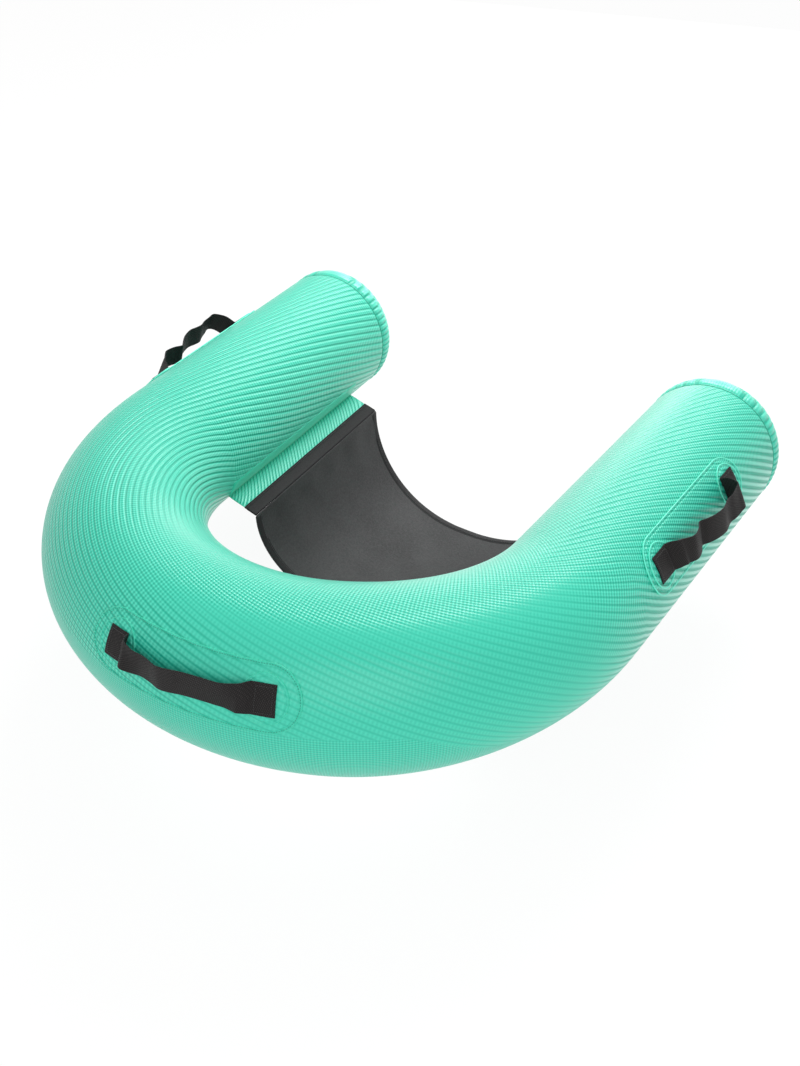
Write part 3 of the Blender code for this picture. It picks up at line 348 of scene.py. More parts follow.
@dataclass(frozen=True)
class CoverCloth:
    """Ribbed mint cover cloth. Its ribs map holds rib counts: across the cords and across the picks.

    A sleeve also has a spot map, with the run in metres and the turn in whole turns. Below a line on the
    outer side of its bend, given in degrees of turn, the cords give way to small square cells.
    """

    name: str
    ribs: Ribs
    # Crest colour: partly the cloth's own, partly a painted highlight that makes the ridges paler; groove
    # colour: partly its own, partly painted shade in the recesses between cords.
    crest: Colour = (0.082, 0.760, 0.555)
    groove: Colour = (0.000, 0.450, 0.300)
    relief: float = 0.0017
    yarn_relief: float = 0.00008
    roughness: float = 0.36
    shine_roughness: float = 0.35
    slim_rise: float = 0.15
    pick_rise: float = 0.11
    cell_rise: float = 0.10
    cell_tone: float = 0.20
    yarn_tone: float = 0.14
    # Depth of the painted shade that darkens the left half's outer side and underside.
    painted_shade: float = 0.12
    cloud: float = 0.06
    waffle_turn: float = 171.0
    waffle_bend: float = 28.0
    waffle_from: float = 0.25
    waffle_ease: float = 0.13
    waffle_end: float = 0.60
    waffle_seam: float = 0.74
    cells_round: float = 200.0
    cells_along: float = 320.0
    cloud_scale: float = 6.0
    yarn_scale: float = 1100.0
    polish: float = 0.12
    gloss: float = 0.50
    sheen: float = 0.10
    sheen_roughness: float = 0.30

    @staticmethod
    def zones(kit: NodeKit, run: Wire, turn: Wire) -> dict[str, Wire]:
        """Parts of the sleeve, each 1 inside and smoothly 0 outside.

        Args:
            kit: the material's nodes.
            run: metres along the centre line.
            turn: whole turns round the tube.

        Returns:
            The zones by name. Left is the left half, arm the right arm, crown and top the arms' tops, outer
            the outer side, near its left part, end and edge the arms' ends and outer sides, inner the left
            half's side into the U, calm the right part of the bend's outer side, lower the outer half of
            the tube, middle the bend's crest and dashes the rows of picks on the arms.
        """
        left = (run * -1.0).step(0.10, 0.24)
        arm = run.step(0.46, 0.60)
        straight = kit.maths("ABSOLUTE", run).step(0.46, 0.60)
        outer = turn.turn_step(106, 130)
        over = 1.0 - turn.turn_step(84, 104)
        middle = run.step(-0.22, -0.04) * (1.0 - run.step(0.60, 0.95) * 0.4)
        return {
            "left": left,
            "arm": arm,
            "outer": outer,
            "end": run.step(0.80, 0.98) * turn.turn_step(118, 140),
            "inner": left * (1.0 - turn.turn_step(24, 50)),
            "edge": straight * turn.turn_step(130, 158),
            "calm": turn.turn_step(95, 113) * run.step(-0.16, 0.08) * (1.0 - arm),
            "lower": turn.turn_step(76, 94),
            "middle": middle * turn.turn_step(58, 84),
            "near": outer * (1.0 - run.step(-0.02, 0.14)),
            "crown": straight * over * turn.turn_step(40, 62),
            "dashes": (left + arm) * (1.0 - turn.turn_step(120, 146)),
            "top": over * (left + arm),
        }

    @staticmethod
    def faded(zones: dict[str, Wire], calm: float, end: float = 0.0, edge: float = 0.0) -> Wire:
        """How much of a small wave is left where the calm part, the end and the edge take some away.

        Args:
            zones: the sleeve's zones.
            calm: share that the calm part takes.
            end: share that the arms' ends take.
            edge: share that the arms' outer sides take.

        Returns:
            The product of one less each zone's share.
        """
        kept = 1.0 - zones["calm"] * calm
        for name, share in (("end", end), ("edge", edge)):
            if share:
                kept = kept * (1.0 - zones[name] * share)
        return kept

    @staticmethod
    def crests(wide: Wire) -> Wire:
        """1 on the crests of the broad cords and 0 in their grooves."""
        return wide.step(-0.4, 0.9)

    def sleeve_tone(self, kit: NodeKit, cord: Wire, pick: Wire) -> tuple[Wire, Wire, Wire]:
        """Pattern of the sleeve, whose waves are weighted by zone, with a painted shade darkening the left
        half's outer side.

        Args:
            kit: the material's nodes.
            cord: count across the cords.
            pick: count across the picks.

        Returns:
            The relief's height, the colour's tone with its painted shade, and the weight of the shine.
        """
        run, turn = kit.uv("spot")
        wide, slim, dot = cord.swell(), (cord * 2.0).swell(), pick.swell()
        small = slim * self.slim_rise + dot * self.pick_rise
        zones = self.zones(kit, run, turn)
        height = wide * BROAD_RISE.summed(zones) + small * self.faded(zones, 0.8)
        fine = self.faded(zones, 0.85, 0.4, 0.6) * FINE_TONE.summed(zones)
        picks = self.faded(zones, 0.86) * PICK_TONE.summed(zones)
        tone = wide * BROAD_TONE.summed(zones) + slim * fine + dot * picks + wide * dot * 0.06 + 0.5
        # Painted shade: the tone is darkened over the left half's outer side and underside.
        tone = tone - (run * -1.0).step(-0.05, 0.20) * turn.turn_step(92, 112) * self.painted_shade
        line = (run - self.waffle_from).step(0.0, self.waffle_ease) * (self.waffle_bend / 360.0)
        line = line + self.waffle_turn / 360.0
        low = (turn - line).step(0.0, 0.008) * (self.waffle_seam - turn).step(0.0, 0.05)
        cell = (turn * self.cells_round).swell() + (run * self.cells_along).swell()
        share = low * (self.waffle_end - kit.maths("ABSOLUTE", run)).step(0.0, 0.10)
        inside = (1.0 - turn.turn_step(62, 90)) * turn.turn_step(20, 45) * 0.8
        crests = zones["edge"] * (1.0 - turn.turn_step(210, 240)) + zones["inner"] * 0.7
        glaze = inside * run.step(-0.30, -0.10) + crests * self.crests(wide)
        height = height * (1.0 - share) + cell * self.cell_rise * share
        return height, tone * (1.0 - share) + (cell * self.cell_tone + 0.5) * share, glaze

    def panel_tone(self, cord: Wire, pick: Wire) -> tuple[Wire, Wire, Wire]:
        """Pattern of a panel, whose waves are the same all over.

        Args:
            cord: count across the cords.
            pick: count across the picks.

        Returns:
            The relief's height, the colour's tone and the weight of the shine.
        """
        wide, slim, dot = cord.swell(), (cord * 2.0).swell(), pick.swell()
        height = wide * 0.25 + (slim * self.slim_rise + dot * self.pick_rise)
        tone = wide * 0.34 + slim * 0.16 + dot * 0.12 + 0.56
        return height, tone, self.crests(wide) * 0.6

    def material(self) -> Look:
        """Three smooth waves make the cloth: broad cords, a finer cord of half their pitch, and the picks;
        their tone is partly the woven pattern and partly painted shade in the grooves and a painted highlight
        on the crests.
        """
        kit = NodeKit.of_material(self.name)
        cord, pick = kit.uv("ribs")
        if self.ribs is Ribs.PANEL:
            height, tone, glaze = self.panel_tone(cord, pick)
        else:
            height, tone, glaze = self.sleeve_tone(kit, cord, pick)
        yarn = kit.noise(self.yarn_scale, 1.0)
        tone = kit.maths("MAXIMUM", tone + (yarn - 0.5) * self.yarn_tone, 0.0)
        tone = kit.maths("MINIMUM", tone, 1.0)
        cloudy = kit.noise(self.cloud_scale, 3.0).step(0.40, 0.80) * self.cloud
        # The tone mixes groove and crest colours: the woven pattern plus painted groove shade and painted
        # crest highlight.
        colour = kit.mix(cloudy, kit.mix(tone, self.groove, self.crest), self.groove)
        normal = kit.bump(yarn, self.yarn_relief, kit.bump(height, self.relief))
        return kit.surface(Base_Color=colour, Roughness=self.roughness + self.polish / 2 - tone * self.polish,
                           Normal=normal, Specular_IOR_Level=self.gloss, Sheen_Weight=self.sheen,
                           Sheen_Roughness=self.sheen_roughness, Coat_Weight=glaze,
                           Coat_Roughness=self.shine_roughness)


@dataclass(frozen=True)
class SmoothCloth:
    """Flat cloth with a fine grain, such as the sling, its binding or a welded strip."""

    name: str
    colour: Colour
    light: Colour
    roughness: float = 0.7
    grain: float = 0.00010
    grains: float = 1500.0
    sheen: float = 0.2
    gloss: float = 0.5

    def material(self) -> Look:
        """Two sizes of noise make the grain, and a slow one clouds the colour."""
        kit = NodeKit.of_material(self.name)
        fine = kit.noise(self.grains, 2.0)
        coarse = kit.noise(self.grains * 0.3, 2.0)
        cloudy = kit.noise(9.0, 2.0)
        speck = (fine * 0.6 + coarse * 0.4).step(0.35, 0.68)
        colour = kit.mix(speck * 0.5 + cloudy.step(0.3, 0.75) * 0.4, self.colour, self.light)
        normal = kit.bump(fine * 0.6 + coarse * 0.4, self.grain)
        return kit.surface(Base_Color=colour, Roughness=self.roughness - speck * 0.08, Normal=normal,
                           Specular_IOR_Level=self.gloss, Sheen_Weight=self.sheen, Sheen_Roughness=0.4)


@dataclass(frozen=True)
class WovenWebbing:
    """Black webbing in a fine twill. Its weave map holds metres along and across the strip."""

    name: str = "webbing_weave"
    dark: Colour = (0.003, 0.003, 0.003)
    light: Colour = (0.030, 0.025, 0.025)
    rib: float = 0.0032
    relief: float = 0.00045

    def material(self) -> Look:
        """Two slanted sets of ridges cross in rows of light dots, mirrored about the strip's middle."""
        kit = NodeKit.of_material(self.name)
        along, across = kit.uv("weave")
        slant = (along * 0.8 + kit.maths("ABSOLUTE", across)) / self.rib
        cross = (along - across * 0.35) / (self.rib * 0.80)
        weave = slant.wave() * cross.wave()
        fuzz = kit.noise(1800.0, 1.0)
        tone = (weave + (fuzz - 0.5) * 0.6).step(0.20, 1.00)
        return kit.surface(Base_Color=kit.mix(tone, self.dark, self.light), Roughness=0.62 - tone * 0.14,
                           Normal=kit.bump(weave + fuzz * 0.3, self.relief), Specular_IOR_Level=0.22,
                           Sheen_Weight=0.02, Sheen_Roughness=0.4)


@dataclass(frozen=True)
class Moulding:
    """Moulded plastic, film or rubber with a slight unevenness."""

    name: str
    colour: Colour
    light: Colour
    roughness: float = 0.4
    metallic: float = 0.0
    wave: float = 0.00006

    def material(self) -> Look:
        """Noise of two sizes changes the colour and the gloss a little."""
        kit = NodeKit.of_material(self.name)
        slow = kit.noise(40.0, 2.0)
        fine = kit.noise(700.0, 2.0)
        colour = kit.mix(slow.step(0.3, 0.7) * 0.6 + fine * 0.2, self.colour, self.light)
        return kit.surface(Base_Color=colour, Roughness=self.roughness + (fine - 0.5) * 0.12,
                           Metallic=self.metallic, Normal=kit.bump(fine * 0.5 + slow * 0.5, self.wave))


@dataclass(frozen=True)
class Palette:
    """The materials of the whole lounger, made once."""

    cover: Look
    panel: Look
    piping: Look
    seam: Look
    strip: Look
    thread: Look
    sling: Look
    hem: Look
    binding: Look
    webbing: Look
    black_thread: Look
    film: Look
    valve: Look
    rubber: Look
    zip: Look

    @classmethod
    def mixed(cls) -> "Palette":
        """Make every finish of the lounger.

        Returns:
            The palette.
        """
        return cls(
            cover=CoverCloth("cover_sleeve_cloth", Ribs.SLEEVE).material(),
            panel=CoverCloth("cover_panel_cloth", Ribs.PANEL).material(),
            piping=SmoothCloth("piping", (0.090, 0.820, 0.590), (0.200, 0.950, 0.740), 0.42).material(),
            seam=SmoothCloth("seam_cord_cloth", (0.010, 0.300, 0.200), (0.020, 0.420, 0.280), 0.6).material(),
            strip=SmoothCloth("welded_strip", (0.030, 0.600, 0.400), (0.050, 0.700, 0.480), 0.45).material(),
            thread=SmoothCloth("mint_thread", (0.05, 0.66, 0.45), (0.12, 0.85, 0.62), 0.5).material(),
            sling=SmoothCloth("sling_cloth", (0.027, 0.026, 0.027), (0.068, 0.066, 0.068), 0.72,
                              grain=0.00030, grains=900.0, sheen=0.06, gloss=0.32).material(),
            hem=SmoothCloth("hem_cloth", (0.010, 0.009, 0.010), (0.022, 0.021, 0.022), 0.70,
                            grain=0.00016, grains=1300.0, sheen=0.03, gloss=0.20).material(),
            binding=SmoothCloth("binding_cloth", (0.013, 0.012, 0.013), (0.028, 0.027, 0.028), 0.68,
                                grain=0.00016, grains=1300.0, sheen=0.04, gloss=0.25).material(),
            webbing=WovenWebbing().material(),
            black_thread=SmoothCloth("black_thread", (0.020, 0.020, 0.021), (0.060, 0.060, 0.062),
                                     0.5).material(),
            film=Moulding("bladder_film", (0.70, 0.72, 0.70), (0.82, 0.83, 0.81), 0.35).material(),
            valve=Moulding("valve_plastic", (0.022, 0.023, 0.024), (0.045, 0.046, 0.048), 0.38).material(),
            rubber=Moulding("valve_rubber", (0.018, 0.018, 0.018), (0.035, 0.035, 0.035), 0.6).material(),
            zip=Moulding("zip_plastic", (0.020, 0.022, 0.022), (0.045, 0.048, 0.048), 0.36).material(),
        )


# Mesh making


@dataclass
class Skin:
    """Loose mesh data: points, four-sided faces, and one or two pairs of numbers for each face corner."""

    points: Array
    quads: Array
    pairs: Array


def smooth_step(value: Array | float) -> Array:
    """Ease from 0 to 1 with level ends: three squares less two cubes."""
    clipped = np.clip(value, 0.0, 1.0)
    return clipped * clipped * (3.0 - 2.0 * clipped)


def bell(value: Array) -> Array:
    """Bell of height 1 about 0: e to the power of less the square."""
    return np.exp(-(value ** 2))


def unit(vectors: Array) -> Array:
    """Vectors at length 1."""
    return vectors / np.linalg.norm(vectors, axis=-1, keepdims=True).clip(1e-12)


def spread(*values: Array | float) -> list[Array]:
    """The values as arrays of one shared shape."""
    return np.broadcast_arrays(*(np.asarray(value, float) for value in values))


def paired(*values: Array) -> Array:
    """The values side by side in a last axis, in one shared shape."""
    return np.stack(np.broadcast_arrays(*values), axis=-1)


def path_length(path: Array) -> Array:
    """Length along a path up to each of its points."""
    return np.concatenate([[0.0], np.cumsum(np.linalg.norm(np.diff(path, axis=0), axis=1))])


def from_ends(count: int, length: float) -> Array:
    """Distance from the nearer end, for stations evenly along a length."""
    return np.minimum(np.linspace(0, length, count), np.linspace(length, 0, count))


def band_outline(count: int, power: float) -> tuple[Array, Array]:
    """Outline of a flat band: round it, places across and heights with blunt edges.

    The place is half of one less the cosine of the angle, and the height is its sine raised to a power.

    Args:
        count: number of points.
        power: how blunt the edges are, less for blunter.

    Returns:
        Places across from 0 to 1 and heights from -1 to 1.
    """
    turn = np.linspace(0.0, 2.0 * math.pi, count + 1)[:-1]
    return 0.5 - 0.5 * np.cos(turn), np.sign(np.sin(turn)) * np.abs(np.sin(turn)) ** power


def closed(values: Array) -> Array:
    """The values with the first one repeated at the end."""
    return np.concatenate([values, values[:1]])


def grid_quads(rows: int, columns: int, wrap: bool) -> Array:
    """Corner numbers of a grid's faces, row by row.

    Args:
        rows: rows of points.
        columns: columns of points.
        wrap: whether the last column meets the first.

    Returns:
        An array of shape (rows - 1, cells, 4).
    """
    cells = columns if wrap else columns - 1
    row = np.arange(rows - 1)[:, None] * columns
    here = np.arange(cells)[None]
    beside = (here + 1) % columns
    return paired(row + here, row + beside, row + columns + beside, row + columns + here)


def corner_pairs(pairs: Array) -> Array:
    """Pairs at the four corners of each grid face, from pairs on points with the seam's column repeated."""
    return np.stack([pairs[:-1, :-1], pairs[:-1, 1:], pairs[1:, 1:], pairs[1:, :-1]], axis=2)


def thick_grid(outer: Array, inner: Array, pairs: Array, wrap: bool = False,
               keep: Array | None = None) -> Skin:
    """Close two point grids into one thick skin with walls round its edges and openings.

    Args:
        outer: outer points, shape (rows, columns, 3).
        inner: inner points of the same shape.
        pairs: a pair of numbers for each point, with one more column where the grid wraps.
        wrap: whether the last column meets the first.
        keep: the cells that exist, or nothing for all of them.

    Returns:
        The skin. A wall is added wherever a kept cell has no kept neighbour.
    """
    rows, columns = outer.shape[:2]
    cells = columns if wrap else columns - 1
    keep = np.ones((rows - 1, cells), bool) if keep is None else keep
    top = grid_quads(rows, columns, wrap)
    low = top + rows * columns
    corner = corner_pairs(pairs)
    faces = [top[keep], low[keep][:, ::-1]]
    values = [corner[keep], corner[keep][:, ::-1]]
    padded = np.zeros((rows + 1, cells + 2), bool)
    padded[1:-1, 1:-1] = keep
    if wrap:
        padded[1:-1, 0] = keep[:, -1]
        padded[1:-1, -1] = keep[:, 0]
    around = ((padded[:-2, 1:-1], 0, 1), (padded[2:, 1:-1], 2, 3),
              (padded[1:-1, :-2], 3, 0), (padded[1:-1, 2:], 1, 2))
    for neighbour, first, second in around:
        edge = keep & ~neighbour
        upper, under, value = top[edge], low[edge], corner[edge]
        faces.append(np.concatenate([upper[:, [second, first]], under[:, [first, second]]], axis=-1))
        values.append(value[:, [second, first, first, second]])
    points = np.concatenate([outer.reshape(-1, 3), inner.reshape(-1, 3)])
    return Skin(points, np.concatenate(faces), np.concatenate(values))


def swept(sections: Array, pairs: Array, closed_ends: bool = True) -> Skin:
    """Join closed outlines along a path.

    Args:
        sections: outlines, shape (stations, points, 3).
        pairs: a pair of numbers for each point, with the first column repeated at the end.
        closed_ends: whether the first and last outlines are filled with a fan about their middle.

    Returns:
        The skin.
    """
    stations, count = sections.shape[:2]
    skin = Skin(sections.reshape(-1, 3), grid_quads(stations, count, True).reshape(-1, 4),
                corner_pairs(pairs).reshape(-1, 4, 2))
    if not closed_ends:
        return skin
    ring = np.arange(count)
    after = (ring + 1) % count
    hubs = np.stack([sections[0].mean(axis=0), sections[-1].mean(axis=0)])
    first = len(skin.points)
    near = np.stack([np.full(count, first), np.full(count, first), after, ring], axis=-1)
    base = (stations - 1) * count
    far = np.stack([np.full(count, first + 1), np.full(count, first + 1), base + ring, base + after], axis=-1)
    flat = np.repeat(np.concatenate([pairs[0, :-1], pairs[-1, :-1]])[:, None], 4, axis=1)
    return Skin(np.concatenate([skin.points, hubs]), np.concatenate([skin.quads, near, far]),
                np.concatenate([skin.pairs, flat]))


def enclosed(skin: Skin) -> float:
    """Signed volume: a sixth of the triple products of each face's two triangles, summed.

    Args:
        skin: the mesh data.

    Returns:
        The volume, above 0 where the faces point outwards.
    """
    a, b, c, d = (skin.points[skin.quads[:, n]] for n in range(4))
    first = np.einsum("ij,ij->i", a, np.cross(b, c))
    second = np.einsum("ij,ij->i", a, np.cross(c, d))
    return float((first + second).sum() / 6.0)


def make_piece(name: str, skin: Skin, look: Look, layer: str = "ribs", sharp: float = 50.0) -> Piece:
    """Turn a skin into an object whose place is in its mesh.

    Args:
        name: the piece's name.
        skin: its mesh data.
        look: its material.
        layer: name of the UV map that takes the pairs.
        sharp: edges bent by more degrees than this stay crisp.

    Returns:
        The object, with outward faces and smooth shading.
    """
    if enclosed(skin) < 0.0:
        skin = Skin(skin.points, skin.quads[:, ::-1], skin.pairs[:, ::-1])
    count = len(skin.quads)
    mesh = bpy.data.meshes.new(name)
    mesh.vertices.add(len(skin.points))
    mesh.vertices.foreach_set("co", skin.points.astype(np.float32).ravel())
    mesh.loops.add(4 * count)
    mesh.loops.foreach_set("vertex_index", skin.quads.astype(np.int32).ravel())
    mesh.polygons.add(count)
    mesh.polygons.foreach_set("loop_start", np.arange(0, 4 * count, 4, dtype=np.int32))
    mesh.update(calc_edges=True)
    mesh.uv_layers.new(name=layer).data.foreach_set("uv", skin.pairs[..., :2].astype(np.float32).ravel())
    if skin.pairs.shape[-1] == 4:
        mesh.uv_layers.new(name="spot").data.foreach_set("uv", skin.pairs[..., 2:].astype(np.float32).ravel())
    bm = bmesh.new()
    bm.from_mesh(mesh)
    bmesh.ops.remove_doubles(bm, verts=bm.verts[:], dist=1e-6)
    bmesh.ops.dissolve_degenerate(bm, edges=bm.edges[:], dist=1e-7)
    bm.to_mesh(mesh)
    bm.free()
    mesh.shade_smooth()
    mesh.set_sharp_from_angle(angle=math.radians(sharp))
    mesh.materials.append(look)
    piece = bpy.data.objects.new(name, mesh)
    bpy.context.scene.collection.objects.link(piece)
    return piece


def round_cord(name: str, middle: Array, out: Array, above: Array, radius: float, look: Look) -> Piece:
    """Closed round cord: a ring of the radius about each point of its path.

    Args:
        name: the piece's name.
        middle: points of the path, which ends where it starts.
        out: a direction square to the path at each of them.
        above: another one, square to both.
        radius: half of the cord's thickness.
        look: its material.

    Returns:
        The piece.
    """
    angle = np.arange(CORD_SIDES) * 2.0 * math.pi / CORD_SIDES
    ring = out[:, None] * np.cos(angle)[None, :, None] + above[:, None] * np.sin(angle)[None, :, None]
    sections = closed(middle[:, None] + ring * radius)
    pairs = np.zeros((len(sections), CORD_SIDES + 1, 2))
    return make_piece(name, swept(sections, pairs, closed_ends=False), look)


def stitches(name: str, path: Array, outward: Array, look: Look, pitch: float = 0.0034,
             width: float = 0.0008) -> Piece:
    """A row of raised stitches along a path.

    Each stitch is a six-sided spindle that covers part of the pitch: its half width is the square root
    of one less the square of its place along itself, and it sinks at both ends.

    Args:
        name: the piece's name.
        path: points along the row.
        outward: the surface's outward direction at each of them.
        look: the thread's material.
        pitch: distance from stitch to stitch.
        width: thickness of the thread.

    Returns:
        The row as one object.
    """
    length = path_length(path)
    count = max(2, int(length[-1] / pitch))
    middle = (np.arange(count) + 0.5) * length[-1] / count
    where = middle[:, None] + np.array([-0.36, -0.26, 0.0, 0.26, 0.36])[None] * pitch
    rings, corners = where.shape[1], 6

    def read(values: Array) -> Array:
        """Values of the path at each ring of each stitch."""
        return np.stack([np.interp(where, length, values[:, n]) for n in range(3)], axis=-1)

    centre = read(path)
    out = unit(read(outward))
    side = unit(np.cross(unit(np.gradient(centre, axis=1)), out))
    swell = np.array([0.15, 0.75, 1.0, 0.75, 0.15])[None, :, None, None] * width / 2
    sink = np.array([-0.55, 0.1, 0.45, 0.1, -0.55])[None, :, None, None] * width
    angle = (np.arange(corners) * math.pi / 3)[None, None, :, None]
    ring = side[:, :, None] * np.cos(angle) + out[:, :, None] * np.sin(angle)
    points = centre[:, :, None] + ring * swell + out[:, :, None] * sink
    ends = np.array([[0, 1, 2, 3], [0, 3, 4, 5], [27, 26, 25, 24], [29, 28, 27, 24]])[:, ::-1]
    each = np.concatenate([grid_quads(rings, corners, True).reshape(-1, 4), ends])
    faces = (each[None] + (np.arange(count) * rings * corners)[:, None, None]).reshape(-1, 4)
    return make_piece(name, Skin(points.reshape(-1, 3), faces, np.zeros((len(faces), 4, 2))), look)


# The tube's form


class Arm(Enum):
    """The two arms of the tube."""

    LEFT = "left"
    RIGHT = "right"

    @property
    def sign(self) -> float:
        """Sign of the runs along the arm."""
        return 1.0 if self is Arm.RIGHT else -1.0


@dataclass(frozen=True)
class TubeForm:
    """Sizes of the bent tube and points on it, as in the CAD source."""

    centre_y: float
    centre_z: float
    radius_back: float = 0.130
    radius_arm: float = 0.119
    radius_end: float = 0.121
    tall: float = 1.03
    bend_radius: float = 0.379
    arm_length: float = 0.497
    splay: float = math.radians(2.65)
    back_even_run: float = 0.175
    dome_depth: float = 0.065

    @classmethod
    def from_frame(cls) -> "TubeForm":
        """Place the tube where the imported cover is.

        Returns:
            The form, with its centre line's height and the bend's centre read from the cover's box.
        """
        low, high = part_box("cover_tube")
        return cls(centre_y=high.y - cls.bend_radius - cls.radius_back, centre_z=(low.z + high.z) / 2)

    @property
    def half_bend(self) -> float:
        """Run at which an arm begins."""
        return self.bend_radius * (math.pi / 2 - self.splay)

    @property
    def straight(self) -> float:
        """Length of an arm up to its seam."""
        return (self.arm_length + self.bend_radius * math.sin(self.splay)) / math.cos(self.splay)

    @property
    def half_run(self) -> float:
        """Run of the seam at the end of an arm."""
        return self.half_bend + self.straight

    def radius(self, run: Array | float) -> Array:
        """Radius at a run: even at the back, eased down along the bend, then straight to the seam.

        Args:
            run: distances along the centre line.

        Returns:
            The radii.
        """
        away = np.abs(run)
        slim = smooth_step((away - self.back_even_run) / (self.half_bend - self.back_even_run))
        along = np.clip((away - self.half_bend) / self.straight, 0.0, 1.0)
        arm = self.radius_arm + (self.radius_end - self.radius_arm) * along
        return self.radius_back + (arm - self.radius_back) * slim

    def centre(self, run: Array) -> tuple[Array, Array]:
        """Centre line and level direction into the U: an arc of the bend's radius, then a straight line.

        Args:
            run: distances along the centre line.

        Returns:
            Points and unit vectors.
        """
        run = np.asarray(run, float)
        side = np.where(run < 0.0, 1.0, -1.0)
        away = np.abs(run)
        angle = np.minimum(away, self.half_bend) / self.bend_radius
        past = np.maximum(away - self.half_bend, 0.0)
        level = np.zeros_like(angle)
        ahead = np.stack([side * np.cos(angle), -np.sin(angle), level], axis=-1)
        arc = [side * self.bend_radius * np.sin(angle), self.bend_radius * np.cos(angle), level]
        middle = np.array([0.0, self.centre_y, self.centre_z])
        point = np.stack(arc, axis=-1) + ahead * past[..., None] + middle
        return point, np.stack([-side * np.sin(angle), -np.cos(angle), level], axis=-1)

    def outward(self, run: Array, turn: Array) -> Array:
        """Direction away from the centre line: a cosine of the inward direction and a sine of up.

        Args:
            run: distances along the centre line.
            turn: angles round it in degrees.

        Returns:
            Unit vectors.
        """
        run, turn = spread(run, turn)
        inward = self.centre(run)[1]
        angle = np.radians(turn)
        return np.cos(angle)[..., None] * inward + np.sin(angle)[..., None] * UP

    def skin(self, run: Array, turn: Array, lift: Array | float = 0.0) -> Array:
        """Points lifted off the tube: an ellipse about the centre line, a little taller than wide.

        Args:
            run: distances along the centre line.
            turn: angles round it in degrees.
            lift: heights over the surface.

        Returns:
            The points, in the shape that the three arrays share.
        """
        run, turn, lift = spread(run, turn, lift)
        point, inward = self.centre(run)
        angle = np.radians(turn)
        radius = self.radius(run)
        flat = (np.cos(angle) * (radius + lift))[..., None] * inward
        tall = (np.sin(angle) * (radius * self.tall + lift))[..., None] * UP
        return point + flat + tall

    def ahead(self, arm: Arm) -> Array:
        """Direction of an arm away from the bend."""
        return np.array([-arm.sign * math.sin(self.splay), -math.cos(self.splay), 0.0])

    def dome(self, arm: Arm, climb: Array, turn: Array, lift: Array | float = 0.0) -> Array:
        """Points of an end dome, half an ellipsoid on the seam.

        Args:
            arm: the arm that it closes.
            climb: angle from the seam, 0, to the middle, 90.
            turn: angle round the arm in degrees.
            lift: height over the dome.

        Returns:
            The points.
        """
        climb, turn, lift = spread(climb, turn, lift)
        point, inward = self.centre(np.full(climb.shape, arm.sign * self.half_run))
        rise = np.radians(climb)
        angle = np.radians(turn)
        radius = self.radius(self.half_run)
        flat = (np.cos(rise) * np.cos(angle) * (radius + lift))[..., None] * inward
        tall = (np.cos(rise) * np.sin(angle) * (radius * self.tall + lift))[..., None] * UP
        deep = (np.sin(rise) * (self.dome_depth + lift))[..., None] * self.ahead(arm)
        return point + flat + tall + deep


@dataclass(frozen=True)
class RibCount:
    """How the cover cloth's cords and picks run over the tube, as counts at knots along it."""

    knots: tuple[float, ...] = (-1.10, -0.72, -0.40, 0.0, 0.18, 0.26, 0.39, 0.47, 0.62, 1.10)
    cords_round: tuple[float, ...] = (63, 66, 84, 88, 86, 79, 73, 67, 60, 58)
    cords_ahead: tuple[float, ...] = (-25.4, -24.5, -22.0, -33.0, -45.0, -54.0, -59.0, -61.0, -48.0, -42.0)
    picks_round: tuple[float, ...] = (10, 14, 20, 27, 40, 54, 78, 94, 102, 82)
    picks_ahead: float = 185.0
    seen_share: float = 0.53
    fine_count: int = 1201
    even_count: int = 161

    def counts(self, run: Array, turn: Array) -> Array:
        """Cord and pick counts: the share of the turn times the count round, plus a sum along the run.

        The turn starts at the underside, where the cloth's long seam takes the mismatch. The sum along
        the run makes up for the changing count round at the share of the turn that is seen.

        Args:
            run: distances along the centre line.
            turn: angles from -90 to 270 degrees.

        Returns:
            Pairs of counts, in the arrays' shape with one more axis.
        """
        fine = np.linspace(self.knots[0], self.knots[-1], self.fine_count)
        step = fine[1] - fine[0]
        ease = np.hanning(self.even_count)
        ease /= ease.sum()

        def curve(values: tuple[float, ...]) -> Array:
            """Knots joined by lines, then evened out by a running mean."""
            joined = np.interp(fine, self.knots, values)
            return np.convolve(np.pad(joined, self.even_count // 2, mode="edge"), ease, mode="valid")

        share = (np.asarray(turn, float) + 90.0) / 360.0
        total = []
        for rounds, slope in ((curve(self.cords_round), curve(self.cords_ahead)),
                              (curve(self.picks_round), np.full(fine.shape, self.picks_ahead))):
            rate = slope - np.gradient(rounds, step) * self.seen_share
            summed = np.concatenate([[0.0], np.cumsum((rate[1:] + rate[:-1]) / 2 * step)])
            total.append(np.interp(run, fine, rounds) * share + np.interp(run, fine, summed))
        return paired(*total)

    def maps(self, run: Array, turn: Array) -> Array:
        """Both counts, then the run in metres and the turn in whole turns."""
        return np.concatenate([self.counts(run, turn), paired(run, np.asarray(turn) / 360.0)], axis=-1)


# Cover


